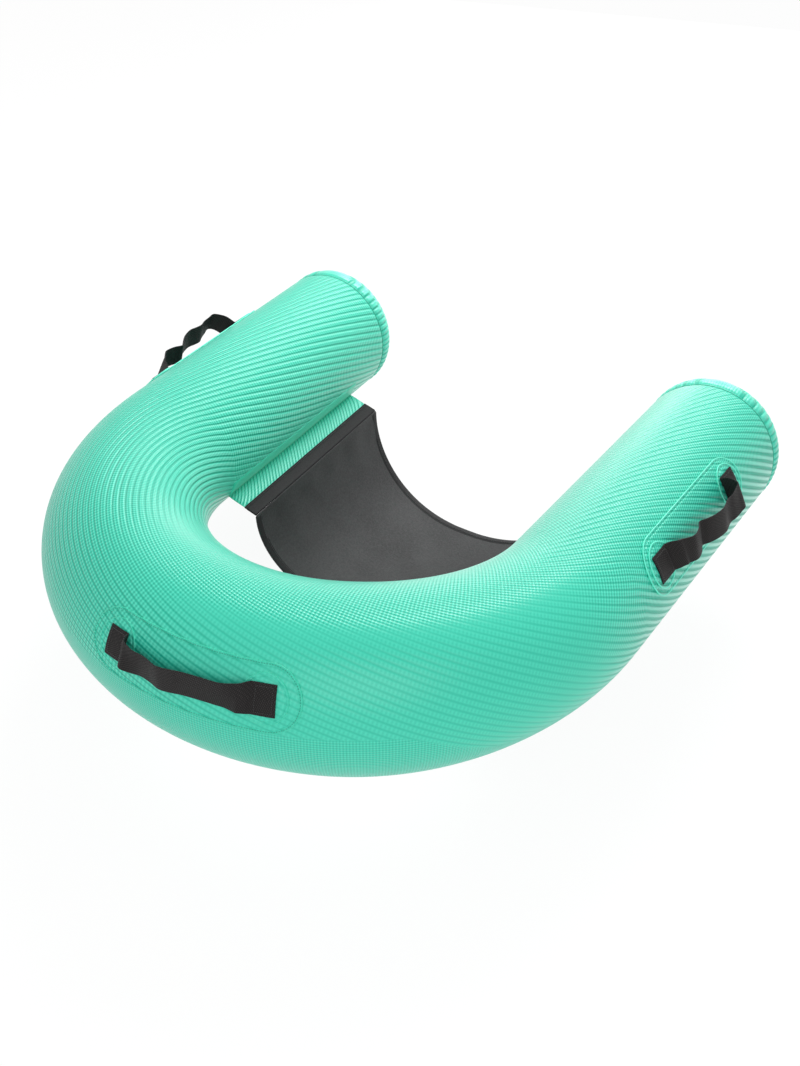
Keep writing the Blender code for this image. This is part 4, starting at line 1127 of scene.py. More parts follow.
@dataclass
class Cover:
    """The ribbed sleeve with its two end panels and its zip."""

    form: TubeForm
    ribs: RibCount
    palette: Palette
    columns: int = 160
    arm_rows: int = 50
    bend_rows_per_cell: int = 6
    cells: int = 28
    zip_cells: int = 5
    zip_turns: tuple[float, float] = (303.75, 315.0)
    cloth: float = 0.0012
    seam_dip: float = 0.0022
    seam_width: float = 0.0050
    seam_in: float = 0.0120
    film: float = 0.0009
    film_drop: float = 0.0050
    valve_hole: float = 0.0172
    film_hole: float = 0.0300
    ridge: float = 0.0020
    ridge_pitch: float = 0.0106
    pick_pitch: float = 0.0052
    cord_radius: float = 0.0011
    cord_count: int = 192
    stitch_turn: float = 1.6
    panel_rows: int = 77
    panel_columns: int = 288
    panel_start: float = 0.6
    dome_share: float = 0.6
    film_columns: int = 64

    def seam_lift(self, distance: Array) -> Array:
        """Dip towards a seam: the seam's depth times a bell of the distance from it."""
        return -self.seam_dip * bell(distance / self.seam_width)

    def hole_climb(self, hole: float) -> float:
        """Angle up the dome, in degrees, at which a hole of that radius about its middle begins."""
        return math.degrees(math.acos(hole / self.form.radius(self.form.half_run)))

    def sleeve(self) -> Piece:
        """Build the sleeve, open at the zip and pulled in where it is sewn.

        Returns:
            The piece.
        """
        half = self.form.half_bend
        end = self.form.half_run - self.seam_in
        arm = np.linspace(end, half, self.arm_rows, endpoint=False)
        close = end - np.array([0.0, 0.002, 0.005])
        arm = np.concatenate([close, arm[1:]])
        rows = self.cells * self.bend_rows_per_cell
        runs = np.concatenate([-arm, np.linspace(-half, half, rows + 1), arm[::-1]])
        turns = -90.0 + np.arange(self.columns + 1) * 360.0 / self.columns
        lift = self.seam_lift(end - np.abs(runs))[:, None]
        outer = self.form.skin(runs[:, None], turns[None, :-1], lift)
        inner = self.form.skin(runs[:, None], turns[None, :-1], lift - self.cloth)
        keep = np.ones((len(runs) - 1, self.columns), bool)
        middle = len(arm) + rows // 2
        reach = self.zip_cells * self.bend_rows_per_cell
        first, last = (round((t - 270.0) * self.columns / 360.0) for t in self.zip_turns)
        keep[middle - reach:middle + reach, first:last] = False
        skin = thick_grid(outer, inner, self.ribs.maps(runs[:, None], turns[None]), wrap=True, keep=keep)
        piece = make_piece("cover_sleeve", skin, self.palette.cover, sharp=60.0)
        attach(piece, "lounger")
        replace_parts(piece, "cover_tube")
        return piece

    def end_panel(self, arm: Arm, hole: float) -> Piece:
        """Build a domed end panel whose cords lie level and stand out as real ridges.

        Its rows start at the seam, a little way up the arm, and go on over the dome.

        Args:
            arm: the arm that it closes.
            hole: radius of the hole for the valve, or 0.

        Returns:
            The piece.
        """
        top = self.hole_climb(hole) if hole else 90.0
        climb = self.panel_start + (top - self.panel_start) * np.linspace(0.0, 1.0, self.panel_rows) ** 1.15
        turn = np.linspace(-90.0, 270.0, self.panel_columns + 1)
        run = arm.sign * (self.form.half_run - self.seam_in * np.linspace(1.0, 0.0, 9)[:-1])

        def panel(lift: Array) -> Array:
            """Rows of the panel at a lift for each row and column."""
            rows = len(run)
            sleeve = self.form.skin(run[:, None], turn[None], lift[:rows])
            return np.concatenate([sleeve, self.form.dome(arm, climb[:, None], turn[None], lift[rows:])])

        away = np.concatenate([self.seam_in - (self.form.half_run - np.abs(run)),
                               self.seam_in + np.radians(climb) * self.form.radius_end * self.dome_share])
        flat = panel(np.zeros((len(away), 1)))
        level = (flat[..., 2] - self.form.centre_z) / self.ridge_pitch
        across = (flat[..., 0] - flat[..., 0].mean()) / self.pick_pitch
        rim = self.seam_lift(away)[:, None]
        wave = np.abs(np.sin(np.pi * level)) ** 0.7 - 0.4
        outer = panel(rim + self.ridge * wave * smooth_step((away - 0.001) / 0.004)[:, None])[:, :-1]
        inner = panel(rim - self.cloth - 0.0004)[:, :-1]
        skin = thick_grid(outer, inner, paired(level, across), wrap=True)
        piece = make_piece(f"end_panel_{arm.value}", skin, self.palette.panel, sharp=70.0)
        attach(piece, "lounger")
        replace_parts(piece, f"end_cap_{arm.value}")
        return piece

    def seam_cord(self, arm: Arm) -> Piece:
        """Sewn cord that closes the seam between an arm and its end panel, as a thin torus.

        Args:
            arm: the arm that it closes.

        Returns:
            The piece.
        """
        turn = np.linspace(-90.0, 270.0, self.cord_count + 1)[:-1]
        run = np.full(turn.shape, arm.sign * (self.form.half_run - self.seam_in))
        middle = self.form.skin(run, turn, -self.seam_dip - 0.0002) + self.form.ahead(arm) * 0.0001
        out = self.form.outward(run, turn)
        ahead = np.broadcast_to(self.form.ahead(arm), out.shape)
        piece = round_cord(f"seam_cord_{arm.value}", middle, out, ahead, self.cord_radius, self.palette.seam)
        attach(piece, "lounger")
        return piece

    def bladder(self) -> Piece:
        """Air bladder: one film inside the cover with domed ends, open where the valve is welded in.

        Returns:
            The piece.
        """
        turn = np.arange(self.film_columns) * 360.0 / self.film_columns
        hole = self.hole_climb(self.film_hole)
        run = np.linspace(-self.form.half_run, self.form.half_run, 121)

        def film(lift: float) -> Array:
            """Rings of the film from the valve's hole to the middle of the right dome."""
            left = self.form.dome(Arm.LEFT, np.linspace(hole, 2.0, 12)[:, None], turn[None], lift)
            middle = self.form.skin(run[:, None], turn[None], lift)
            right = self.form.dome(Arm.RIGHT, np.linspace(2.0, 90.0, 16)[:, None], turn[None], lift)
            return np.concatenate([left, middle, right])

        outer = film(-self.film_drop)
        pairs = np.zeros((len(outer), len(turn) + 1, 2))
        skin = thick_grid(outer, film(-self.film_drop - self.film), pairs, wrap=True)
        piece = make_piece("bladder_film", skin, self.palette.film)
        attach(piece, "lounger")
        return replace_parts(piece, "air_bladder")

    def zip_stitching(self) -> None:
        """Sew two rows of stitches that hold the zip's tapes to the cover."""
        reach = self.form.half_bend * self.zip_cells / (self.cells / 2)
        run = np.linspace(-reach, reach, 121)
        lower, upper = self.zip_turns
        for word, turn in (("lower", lower - self.stitch_turn), ("upper", upper + self.stitch_turn)):
            path = self.form.skin(run, turn, 0.0001)
            row = stitches(f"zip_stitches_{word}", path, self.form.outward(run, turn), self.palette.thread)
            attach(row, "lounger")

    def build(self) -> None:
        """Make every piece of the cover."""
        self.sleeve()
        self.end_panel(Arm.LEFT, self.valve_hole)
        self.end_panel(Arm.RIGHT, 0.0)
        for arm in Arm:
            self.seam_cord(arm)
        self.bladder()
        self.zip_stitching()
        log.info("cover: sleeve, end panels, seam cords, bladder and zip stitches")


# Sling and its flaps


@dataclass
class SlingSeat:
    """The flaps on the arms and the sling that hangs between them.

    The flaps leave the arms at flap_turn and slope inward and down. The sling's curve between the hems is a
    superellipse whose two powers say how blunt its sides and its base are.
    """

    form: TubeForm
    palette: Palette
    flap_turn: float = -34.0
    strip_turn: float = 17.0
    front_from_seam: float = 0.110
    flap_width: float = 0.036
    slope: float = math.radians(-19.0)
    hem_width: float = 0.0245
    hem_half: float = 0.0022
    sag: float = 0.182
    hollow: float = 0.033
    side_power: float = 2.27
    base_power: float = 2.07
    cloth: float = 0.0026
    binding_width: float = 0.015
    binding_half: float = 0.0027
    binding_lip: float = 0.0014
    binding_groove: float = 0.0115
    binding_stitch: float = 0.0098
    flat_cut: float = 0.0005
    gap: float = 0.0003
    flap_edge: float = 0.0011
    flap_puff: float = 0.0016
    flap_round: float = 0.010
    flap_cord_pitch: float = 0.0089
    flap_pick_pitch: float = 0.0042
    flap_rows: int = 181
    lean_reach: float = 0.030
    lean_rear: float = 0.45
    lean_front: float = 0.50
    strip_edge: float = 0.0003
    strip_crown: float = 0.0013
    hem_lap: float = 0.0006
    hem_stitch: float = 0.0038
    drag: float = 0.0007
    drag_down: float = 0.030
    drag_width: float = 0.028
    drag_taper: float = 0.020
    hem_rows: int = 121
    seat_rows: int = 97
    seat_columns: int = 161
    binding_rows: int = 181
    weave_depth: float = 0.4

    def runs(self, arm: Arm, count: int) -> Array:
        """Stations of a flap, from its rear end to its front end."""
        return arm.sign * np.linspace(self.form.half_bend, self.form.half_run - self.front_from_seam, count)

    def section(self, run: Array, out: Array, up: Array) -> Array:
        """Points in a flap's own plane: out along its slope from the tube, up square to it.

        Args:
            run: stations along the arm.
            out: distances from the flap's root.
            up: heights over its middle.

        Returns:
            The points.
        """
        run, out, up = spread(run, out, up)
        point, inward = self.form.centre(run)
        angle = math.radians(self.flap_turn)
        radius = self.form.radius(run)
        cos, sin = math.cos(self.slope), math.sin(self.slope)
        level = math.cos(angle) * radius + out * cos - up * sin
        tall = math.sin(angle) * radius * self.form.tall + out * sin + up * cos
        return point + inward * level[..., None] + UP * tall[..., None]

    def edge(self, run: float) -> Array:
        """Place where the sling leaves its hem on the left side."""
        end = self.flap_width + self.hem_width + self.gap + self.cloth / 2
        return self.section(np.array([run]), np.array([end]), np.array([0.0]))[0]

    def hang(self, across: Array, along: Array) -> Array:
        """Middle surface of the hanging cloth: a superellipse across, with both free edges hollowed.

        Args:
            across: 0 at the left hem to 1 at the right one.
            along: 0 at the front edge to 1 at the rear one.

        Returns:
            The points.
        """
        across, along = spread(across, along)
        rear, front = (self.edge(run) for run in self.runs(Arm.LEFT, 2))
        cosine = np.cos(across * math.pi)
        reach = np.sign(cosine) * np.abs(cosine) ** (2.0 / self.side_power)
        share = np.abs(reach)
        front_y = front[1] + self.hollow * (1.0 - share ** 2)
        rear_y = rear[1] - self.hollow * (1.0 - share ** 2)
        y = front_y + (rear_y - front_y) * along
        half = front[0] + (rear[0] - front[0]) * (y - front[1]) / (rear[1] - front[1])
        fall = (1.0 - share ** self.side_power).clip(0.0) ** (1.0 / self.base_power) * self.sag
        return np.stack([half * reach, y, front[2] - np.minimum(fall, self.sag - self.flat_cut)], axis=-1)

    def hang_normal(self, across: Array, along: Array) -> Array:
        """Unit normals of the hanging cloth, up into the seat, from small steps both ways.

        Args:
            across: 0 at the left hem to 1 at the right one.
            along: 0 at the front edge to 1 at the rear one.

        Returns:
            The normals.
        """
        step = 1e-4
        after, before = (np.clip(across + way, 0, 1) for way in (step, -step))
        ahead = self.hang(after, along) - self.hang(before, along)
        back = self.hang(across, along + step) - self.hang(across, along - step)
        normal = unit(np.cross(ahead, back))
        return np.where(normal[..., 2:3] < 0.0, -normal, normal)

    def stations(self, count: int, start: float = 0.0) -> tuple[Array, float]:
        """Stations across the sling, even along its curve.

        Args:
            count: number of stations.
            start: distance below the hems at which they begin.

        Returns:
            The stations and the curve's whole length.
        """
        fine = np.linspace(0.0, 1.0, 4001)
        length = path_length(self.hang(fine, 0.5))
        return np.interp(np.linspace(start, length[-1] - start, count), length, fine), float(length[-1])

    def flap(self, arm: Arm) -> Piece:
        """Doubled flap of cover cloth, puffed between its root and its hem, with slanted cords.

        Args:
            arm: the arm that carries it.

        Returns:
            The piece.
        """
        run = self.runs(arm, self.flap_rows)
        share = np.linspace(0.0, 1.0, len(run))
        length = abs(float(run[-1] - run[0]))
        near = np.clip(from_ends(len(run), 1.0) * length / self.flap_round, 0.0, 1.0)
        thick = 0.35 + 0.65 * np.sqrt(near * (2.0 - near))[:, None]
        flat, body = band_outline(40, 0.35)
        out = 0.0002 + (self.flap_width - 0.0004) * flat
        up = body * (self.flap_edge + self.flap_puff * np.sin(math.pi * flat) ** 0.8)
        sections = self.section(run[:, None], out[None], up[None] * thick)
        wrapped = closed(flat) * self.flap_width
        rear = np.exp(-share * length / self.lean_reach)
        front = np.exp(-(1.0 - share) * length / self.lean_reach)
        lean = 1.0 + self.lean_rear * rear - self.lean_front * front
        slant = np.abs(run)[:, None] + wrapped[None] * lean[:, None]
        pairs = paired(slant / self.flap_cord_pitch, wrapped[None] / self.flap_pick_pitch)
        piece = make_piece(f"flap_cloth_{arm.value}", swept(sections, pairs), self.palette.panel)
        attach(piece, "lounger")
        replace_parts(piece, f"flap_{arm.value}")
        return piece

    def strip(self, arm: Arm) -> Piece:
        """Welded strip over the flap's root: a thin band on the tube with rolled long edges.

        Args:
            arm: the arm that carries it.

        Returns:
            The piece.
        """
        run = self.runs(arm, self.hem_rows)
        turn = np.linspace(self.flap_turn + 0.6, self.flap_turn + self.strip_turn, 25)
        roll = 1.0 - (2.0 * np.linspace(0.0, 1.0, len(turn)) - 1.0) ** 12
        end = from_ends(len(run), 1.0) * abs(run[-1] - run[0])
        crown = (self.strip_edge + self.strip_crown * roll)[None] * smooth_step(end / 0.002 + 0.2)[:, None]
        outer = self.form.skin(run[:, None], turn[None], crown)
        inner = self.form.skin(run[:, None], turn[None], -0.0002)
        pairs = paired(run[:, None], turn[None])
        piece = make_piece(f"flap_weld_{arm.value}", thick_grid(outer, inner, pairs), self.palette.strip)
        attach(piece, "lounger")
        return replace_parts(piece, f"flap_strip_{arm.value}")

    def hem(self, arm: Arm) -> Piece:
        """Folded hem of the sling round the flap's edge, with a groove along its stitch line.

        Args:
            arm: the arm that carries it.

        Returns:
            The piece.
        """
        run = self.runs(arm, self.hem_rows)
        start = self.flap_width - self.hem_lap
        width = self.hem_width + 2 * self.hem_lap
        flat, body = band_outline(64, 0.28)
        groove = 1.0 - 0.22 * bell((flat - 0.16) * width / 0.0014)
        crease = 1.0 + 0.20 * bell((flat - 0.95) * width / 0.0022)
        up = body * self.hem_half * groove * crease
        sections = self.section(run[:, None], (start + width * flat)[None], up[None])
        pairs = paired(run[:, None], closed(flat)[None] * width)
        piece = make_piece(f"sling_hem_cloth_{arm.value}", swept(sections, pairs), self.palette.hem)
        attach(piece, "lounger")
        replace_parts(piece, f"sling_hem_{arm.value}")
        return piece

    def seat(self) -> Piece:
        """Hanging sling cloth with slight drag folds under its hems.

        Returns:
            The piece.
        """
        across, length = self.stations(self.seat_columns)
        along = np.linspace(0.0, 1.0, self.seat_rows)
        middle = self.hang(across[:, None], along[None])
        normal = self.hang_normal(across[:, None], along[None])
        down = from_ends(len(across), length)
        fold = bell((down - self.drag_down) / self.drag_width)
        fold = (fold * smooth_step((down - 0.003) / self.drag_taper))[:, None]
        turns = along[None] * 2.0 * math.pi
        drag = self.drag * np.sin(turns * 5.3 + 0.8) * fold
        drag = (drag + 0.0005 * np.sin(turns * 2.1 + down[:, None] * 24.0) * fold)[..., None]
        half = self.cloth / 2
        pairs = paired(np.linspace(0, length, len(across))[:, None], along[None] * self.weave_depth)
        skin = thick_grid(middle + normal * (half + drag), middle - normal * (half - drag), pairs)
        piece = make_piece("sling_cloth", skin, self.palette.sling)
        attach(piece, "lounger")
        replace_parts(piece, "sling_panel")
        rear, front = (self.edge(run) for run in self.runs(Arm.LEFT, 2))
        depth = abs(float(rear[1] - front[1]))
        return piece

    @staticmethod
    def cloth_area(middle: Array) -> float:
        """Area of a grid of points: half the length of each cell's crossed diagonals, summed.

        Args:
            middle: the points.

        Returns:
            The area in square metres.
        """
        first = middle[1:, 1:] - middle[:-1, :-1]
        second = middle[1:, :-1] - middle[:-1, 1:]
        return float(np.linalg.norm(np.cross(first, second), axis=-1).sum() / 2)

    def binding(self, word: str, along: float) -> Piece:
        """Folded tape round a free edge, with a rounded lip, a groove where it is sewn, and its stitches.

        Args:
            word: front or rear.
            along: 0 at the front edge and 1 at the rear one.

        Returns:
            The piece.
        """
        across, length = self.stations(self.binding_rows, self.hem_half + 0.0011)
        sign = 1.0 if along == 0.0 else -1.0
        edge = self.hang(across, along)
        inward = unit(self.hang(across, along + sign * 0.02) - edge)
        normal = self.hang_normal(across, np.full_like(across, along))
        flat, body = band_outline(48, 0.4)
        reach = -self.binding_lip + (self.binding_width + 0.0002) * flat
        high = body * self.binding_half * (1.0 - 0.28 * bell((reach - self.binding_groove) / 0.0011))
        sections = edge[:, None] + inward[:, None] * reach[:, None] + normal[:, None] * high[:, None]
        sections[..., 2] = np.maximum(sections[..., 2], 0.0)
        pairs = paired(np.linspace(0, length, len(across))[:, None], closed(reach)[None])
        piece = make_piece(f"binding_tape_{word}", swept(sections, pairs), self.palette.binding)
        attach(piece, "lounger")
        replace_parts(piece, f"sling_binding_{word}")
        path = edge + inward * self.binding_stitch + normal * 0.0026
        row = stitches(f"binding_stitches_{word}", path, normal, self.palette.black_thread)
        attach(row, "lounger")
        return piece

    def build(self) -> None:
        """Make the flaps, hems, sling and bindings."""
        for arm in Arm:
            self.strip(arm)
            self.flap(arm)
            self.hem(arm)
            run = self.runs(arm, self.hem_rows)
            out = self.flap_width + self.hem_stitch
            path = self.section(run, out, self.hem_half)
            above = self.section(run, out, self.hem_half + PROBE_STEP) - path
            row = stitches(f"hem_stitches_{arm.value}", path, unit(above), self.palette.black_thread)
            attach(row, "lounger")
        self.seat()
        for word, along in (("front", 0.0), ("rear", 1.0)):
            self.binding(word, along)
        log.info("sling: strips, flaps, hems, cloth, bindings and stitches")


# Handles


@dataclass(frozen=True)
class Wave:
    """Waves of a handle's slack webbing, at knots from its steep end to its flat one."""

    rises: tuple[float, ...]
    leans: tuple[float, ...]
    droop: float
    shares: tuple[float, ...] = (-1.0, -0.93, -0.85, -0.78, -0.70, -0.58, -0.42, -0.26, -0.10,
                                 0.06, 0.22, 0.38, 0.54, 0.70, 0.78, 0.86, 0.93, 1.0)
    droop_ease: float = 0.40
    twist_ease: float = 0.12

    def curve(self, share: Array, values: tuple[float, ...]) -> Array:
        """Smooth curve through the values at the knots, level beyond both ends.

        Between two knots it is a cubic whose slope at each knot is that of the line past its neighbours.

        Args:
            share: -1 at the steep end to 1 at the flat one.
            values: one value for each knot.

        Returns:
            The curve at the shares.
        """
        knots, highs = np.array(self.shares), np.array(values)
        slopes = np.gradient(highs, knots)
        slopes[[0, -1]] = 0.0
        share = np.clip(share, -1.0, 1.0)
        cell = np.clip(np.searchsorted(knots, share, side="right") - 1, 0, len(knots) - 2)
        width = knots[cell + 1] - knots[cell]
        past = (share - knots[cell]) / width
        left = 1 - past
        start = (1 + 2 * past) * left ** 2 * highs[cell] + past * left ** 2 * width * slopes[cell]
        end = past * past * (3 - 2 * past) * highs[cell + 1] - past * past * left * width * slopes[cell + 1]
        return start + end


REAR_WAVE = Wave(
    rises=(0.0, 0.0090, 0.0139, 0.0127, 0.0112, 0.0095, 0.0110, 0.0150, 0.0130,
           0.0095, 0.0078, 0.0070, 0.0072, 0.0072, 0.0081, 0.0090, 0.0045, 0.0),
    leans=(0.0, -0.0020, -0.0033, -0.0034, -0.0032, -0.0035, -0.0025, -0.0015, -0.0020,
           -0.0030, -0.0025, -0.0015, -0.0015, -0.0010, -0.0005, -0.0002, 0.0, 0.0),
    droop=28.0)
ARM_WAVE = Wave(
    rises=(0.0, 0.0200, 0.0350, 0.0343, 0.0332, 0.0300, 0.0310, 0.0340, 0.0300,
           0.0230, 0.0155, 0.0220, 0.0245, 0.0170, 0.0160, 0.0151, 0.0085, 0.0),
    leans=(0.0, 0.0, 0.0040, 0.0090, 0.0130, 0.0120, 0.0090, 0.0100, 0.0140,
           0.0120, 0.0070, 0.0080, 0.0110, 0.0080, 0.0040, 0.0020, 0.0, 0.0),
    droop=17.0)


@dataclass
class Handle:
    """One webbing handle with its base patch and pads.

    It sits at the run middle and at an angle of turn round the tube. Its patch, pads and tabs are measured
    from there in metres along it and down the tube's side.
    """

    form: TubeForm
    ribs: RibCount
    palette: Palette
    name: str
    middle: float
    ends: tuple[str, str]
    wave: Wave = ARM_WAVE
    span: float = 0.285
    tab: float = 0.040
    turn: float = 147.0
    width: float = 0.042
    thick: float = 0.0020
    loop_cut: float = 0.78
    patch_length: float = 0.330
    patch_width: float = 0.094
    pad_length: float = 0.066
    pad_width: float = 0.070
    patch_lift: float = 0.0006
    patch_cloth: float = 0.0011
    patch_sunk: float = 0.0004
    gap: float = 0.0003
    groove_depth: float = 0.0010
    groove_place: float = 0.0050
    groove_width: float = 0.0012
    rim_drop: float = 0.0011
    rim_width: float = 0.0012
    piping_inset: float = 0.0010
    piping_bold: float = 0.0011
    piping_fine: float = 0.0006
    stitch_inset: float = 0.0045
    patch_stitch_inset: float = 0.0030
    strap_rows: int = 121

    @property
    def on_bend(self) -> bool:
        """Whether the handle sits on the bend."""
        return abs(self.middle) < self.form.half_bend

    @property
    def side(self) -> float:
        """Sign that mirrors the handle of the left arm."""
        return -1.0 if self.middle < -self.form.half_bend else 1.0

    @property
    def facing(self) -> float:
        """Sign that puts the wave's steep end at the rear handle's left tab and the others' front tab."""
        return 1.0 if self.on_bend else -1.0

    @property
    def scale(self) -> float:
        """Run along the centre line for each metre along the tube's outer side."""
        if not self.on_bend:
            return 1.0
        reach = self.form.bend_radius - math.cos(math.radians(self.turn)) * self.form.radius_back
        return self.form.bend_radius / reach

    @property
    def free(self) -> float:
        """Half of the webbing's length between its sewn tabs."""
        return self.span / 2 - self.tab

    @property
    def webbing_base(self) -> float:
        """Height of the webbing's underside over the tube, on patch and pad."""
        return self.patch_lift + 2 * (self.patch_cloth + self.gap)

    def turn_at(self, y: Array) -> Array:
        """Angle round the tube, in degrees, at a distance down its side from the handle's middle line."""
        return self.turn + np.degrees(np.asarray(y) / float(self.form.radius(self.middle)))

    def run_at(self, x: Array) -> Array:
        """Run along the centre line at a distance along the handle from its middle."""
        return self.middle + self.side * np.asarray(x) * self.scale

    def on_tube(self, x: Array, y: Array, lift: Array | float) -> Array:
        """Points from distances along the handle and down the tube's side.

        Args:
            x: metres along the handle from its middle.
            y: metres round the tube.
            lift: heights over the tube.

        Returns:
            The points.
        """
        return self.form.skin(self.run_at(x), self.turn_at(y), lift)

    def lifted(self, x: Array, y: Array, lift: float) -> tuple[Array, Array]:
        """Points as on_tube gives them, and the unit directions away from the tube there."""
        points = self.on_tube(x, y, lift)
        return points, unit(self.on_tube(x, y, lift + PROBE_STEP) - points)

    def oval(self, name: str, where: float, length: float, width: float, lift: float) -> Piece:
        """Round-ended patch of cover cloth with a sewn groove inside its rim.

        Its points lie on rings about the middle line: a point of that line plus a share of half the
        width along the outline's outward direction. Height depends on the share alone.

        Args:
            name: the piece's name.
            where: metres from the handle's middle to its own.
            length: its length.
            width: its width.
            lift: height of its underside over the tube.

        Returns:
            The piece.
        """
        half = width / 2
        ahead, facing = self.outline(length, half)
        share = np.concatenate([np.linspace(0.0, 0.8, 13)[:-1], np.linspace(0.8, 0.985, 17), [0.995, 1.0]])
        x = where + ahead[None] + np.cos(facing)[None] * share[:, None] * half
        y = np.sin(facing)[None] * share[:, None] * half
        inside = (1.0 - share) * half
        groove = -self.groove_depth * bell((inside - self.groove_place) / self.groove_width)
        rolled = -self.rim_drop * np.clip(1.0 - inside / self.rim_width, 0.0, 1.0) ** 2
        outer = self.on_tube(x, y, lift + self.patch_cloth + (groove + rolled)[:, None])
        inner = self.on_tube(x, y, lift - self.patch_sunk)
        pairs = self.ribs.maps(self.run_at(x), self.turn_at(y))
        skin = thick_grid(outer, inner, np.concatenate([pairs, pairs[:, :1]], axis=1), wrap=True)
        ring = outer.shape[1]
        keep = ~np.all(skin.quads % (outer.shape[0] * ring) < ring, axis=1)
        skin = Skin(skin.points, skin.quads[keep], skin.pairs[keep])
        piece = make_piece(name, skin, self.palette.cover, sharp=75.0)
        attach(piece, "lounger")
        return piece

    @staticmethod
    def outline(length: float, half: float) -> tuple[Array, Array]:
        """Round-ended outline: two half circles joined by straight lines.

        Args:
            length: its whole length.
            half: half of its width.

        Returns:
            Places on its middle line and outward angles, one pair for each point.
        """
        core = length / 2 - half
        bow = np.linspace(-90.0, 90.0, 37)
        flat = np.linspace(0.0, 1.0, 41)[1:-1]
        round_end, straight = np.full(bow.shape, core), core - 2 * core * flat
        ahead = np.concatenate([round_end, straight, -round_end, -straight])
        level = np.full(flat.shape, 90.0)
        return ahead, np.radians(np.concatenate([bow, level, bow + 180.0, level + 180.0]))

    def piping(self, name: str, where: float, length: float, width: float, lift: float) -> Piece:
        """Round cord that borders a patch, swept along its outline a little inside its edge.

        Args:
            name: the piece's name.
            where: metres from the handle's middle to the patch's own.
            length: the patch's length.
            width: the patch's width.
            lift: height of the patch's underside over the tube.

        Returns:
            The piece.
        """
        half = width / 2
        ahead, facing = self.outline(length, half)
        x = where + ahead + np.cos(facing) * (half - self.piping_inset)
        y = np.sin(facing) * (half - self.piping_inset)
        middle, above = self.lifted(x, y, lift + self.patch_cloth - self.patch_sunk)
        along = unit(np.roll(middle, -1, axis=0) - np.roll(middle, 1, axis=0))
        out = unit(np.cross(along, above))
        radius = self.piping_fine if self.on_bend else self.piping_bold
        look = self.palette.strip if self.on_bend else self.palette.piping
        piece = round_cord(name, middle, out, above, radius, look)
        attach(piece, "lounger")
        return piece

    def surface(self, share: Array, across: Array) -> Array:
        """Middle surface of the webbing.

        On its tabs it follows the tube. Between them it waves off the tube, turns flat across its width
        and droops towards upright.

        Args:
            share: shares of the free length, -1 to 1, and beyond them on the tabs.
            across: metres across the webbing.

        Returns:
            Points of shape (shares, across, 3).
        """
        wave = self.wave
        rise = wave.curve(share * self.facing, wave.rises)[:, None]
        x = share * self.free + self.facing * wave.curve(share * self.facing, wave.leans)
        base = self.webbing_base + self.thick / 2
        curved = self.on_tube(x[:, None], across[None], base + rise)
        root = self.on_tube(x, 0.0, base)[:, None]
        inward = self.form.centre(self.run_at(x))[1]
        inside = (1.0 - np.abs(share))[:, None]
        angle = np.radians(self.turn + wave.droop * smooth_step(inside / wave.droop_ease))
        out = np.cos(angle)[..., None] * inward[:, None] + np.sin(angle)[..., None] * UP
        wide = -np.sin(angle)[..., None] * inward[:, None] + np.cos(angle)[..., None] * UP
        flat = root + out * rise[..., None] + wide * across[None, :, None]
        blend = smooth_step(inside / wave.twist_ease)[..., None]
        return curved * (1.0 - blend) + flat * blend

    def webbing(self, name: str, share: Array) -> Piece:
        """Strip of webbing with rounded edges over a stretch of its path.

        Args:
            name: the piece's name.
            share: stations of the path.

        Returns:
            The piece.
        """
        angle = np.linspace(0.0, 2.0 * math.pi, 37)[:-1]
        across = -np.cos(angle) * self.width / 2
        body = np.sign(np.sin(angle)) * np.abs(np.sin(angle)) ** 0.30
        edge = 1.0 + 0.16 * bell((self.width / 2 - np.abs(across)) / 0.0025)
        middle = self.surface(share, across)
        step = 1e-4
        ahead = self.surface(share + step, across) - self.surface(share - step, across)
        side = self.surface(share, across + step) - self.surface(share, across - step)
        normal = unit(np.cross(ahead, side)) * self.side
        sections = middle + normal * (self.thick / 2 * body * edge)[None, :, None]
        pairs = paired(path_length(sections.mean(axis=1))[:, None], closed(across)[None])
        piece = make_piece(name, swept(sections, pairs), self.palette.webbing, layer="weave")
        return piece

    def strap(self, end: str, sign: float) -> Piece:
        """Half of the webbing, from a sewn tab to the loop's middle.

        Args:
            end: word for the tab's end.
            sign: -1 for the first end and 1 for the second.

        Returns:
            The piece.
        """
        flat = 1.0 + self.tab / self.free
        piece = self.webbing(f"{self.name}_strap_{end}", np.linspace(sign * flat, 0.0, self.strap_rows))
        ends = np.array([sign, sign * (2 * self.loop_cut - 1.0)])
        start, stop = self.surface(ends, np.zeros(1))[:, 0]
        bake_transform(piece)
        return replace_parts(piece, f"handle_{self.name}_tab_{end}", f"handle_{self.name}_loop")

    def tab_stitches(self, name: str, sign: float) -> Piece:
        """Box of stitches that holds a tab down.

        Args:
            name: the piece's name.
            sign: -1 for the tab at the first end and 1 for the other.

        Returns:
            The piece.
        """
        near, far = self.free + self.stitch_inset, self.free + self.tab - self.stitch_inset
        wide = self.width / 2 - self.stitch_inset
        corners = np.array([[near, -wide], [far, -wide], [far, wide], [near, wide], [near, -wide]])
        place = np.concatenate([np.linspace(a, b, 14) for a, b in zip(corners[:-1], corners[1:])])
        path, above = self.lifted(sign * place[:, 0], place[:, 1], self.webbing_base + self.thick)
        row = stitches(name, path, above, self.palette.black_thread, 0.0030, 0.0008)
        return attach(row, "lounger")

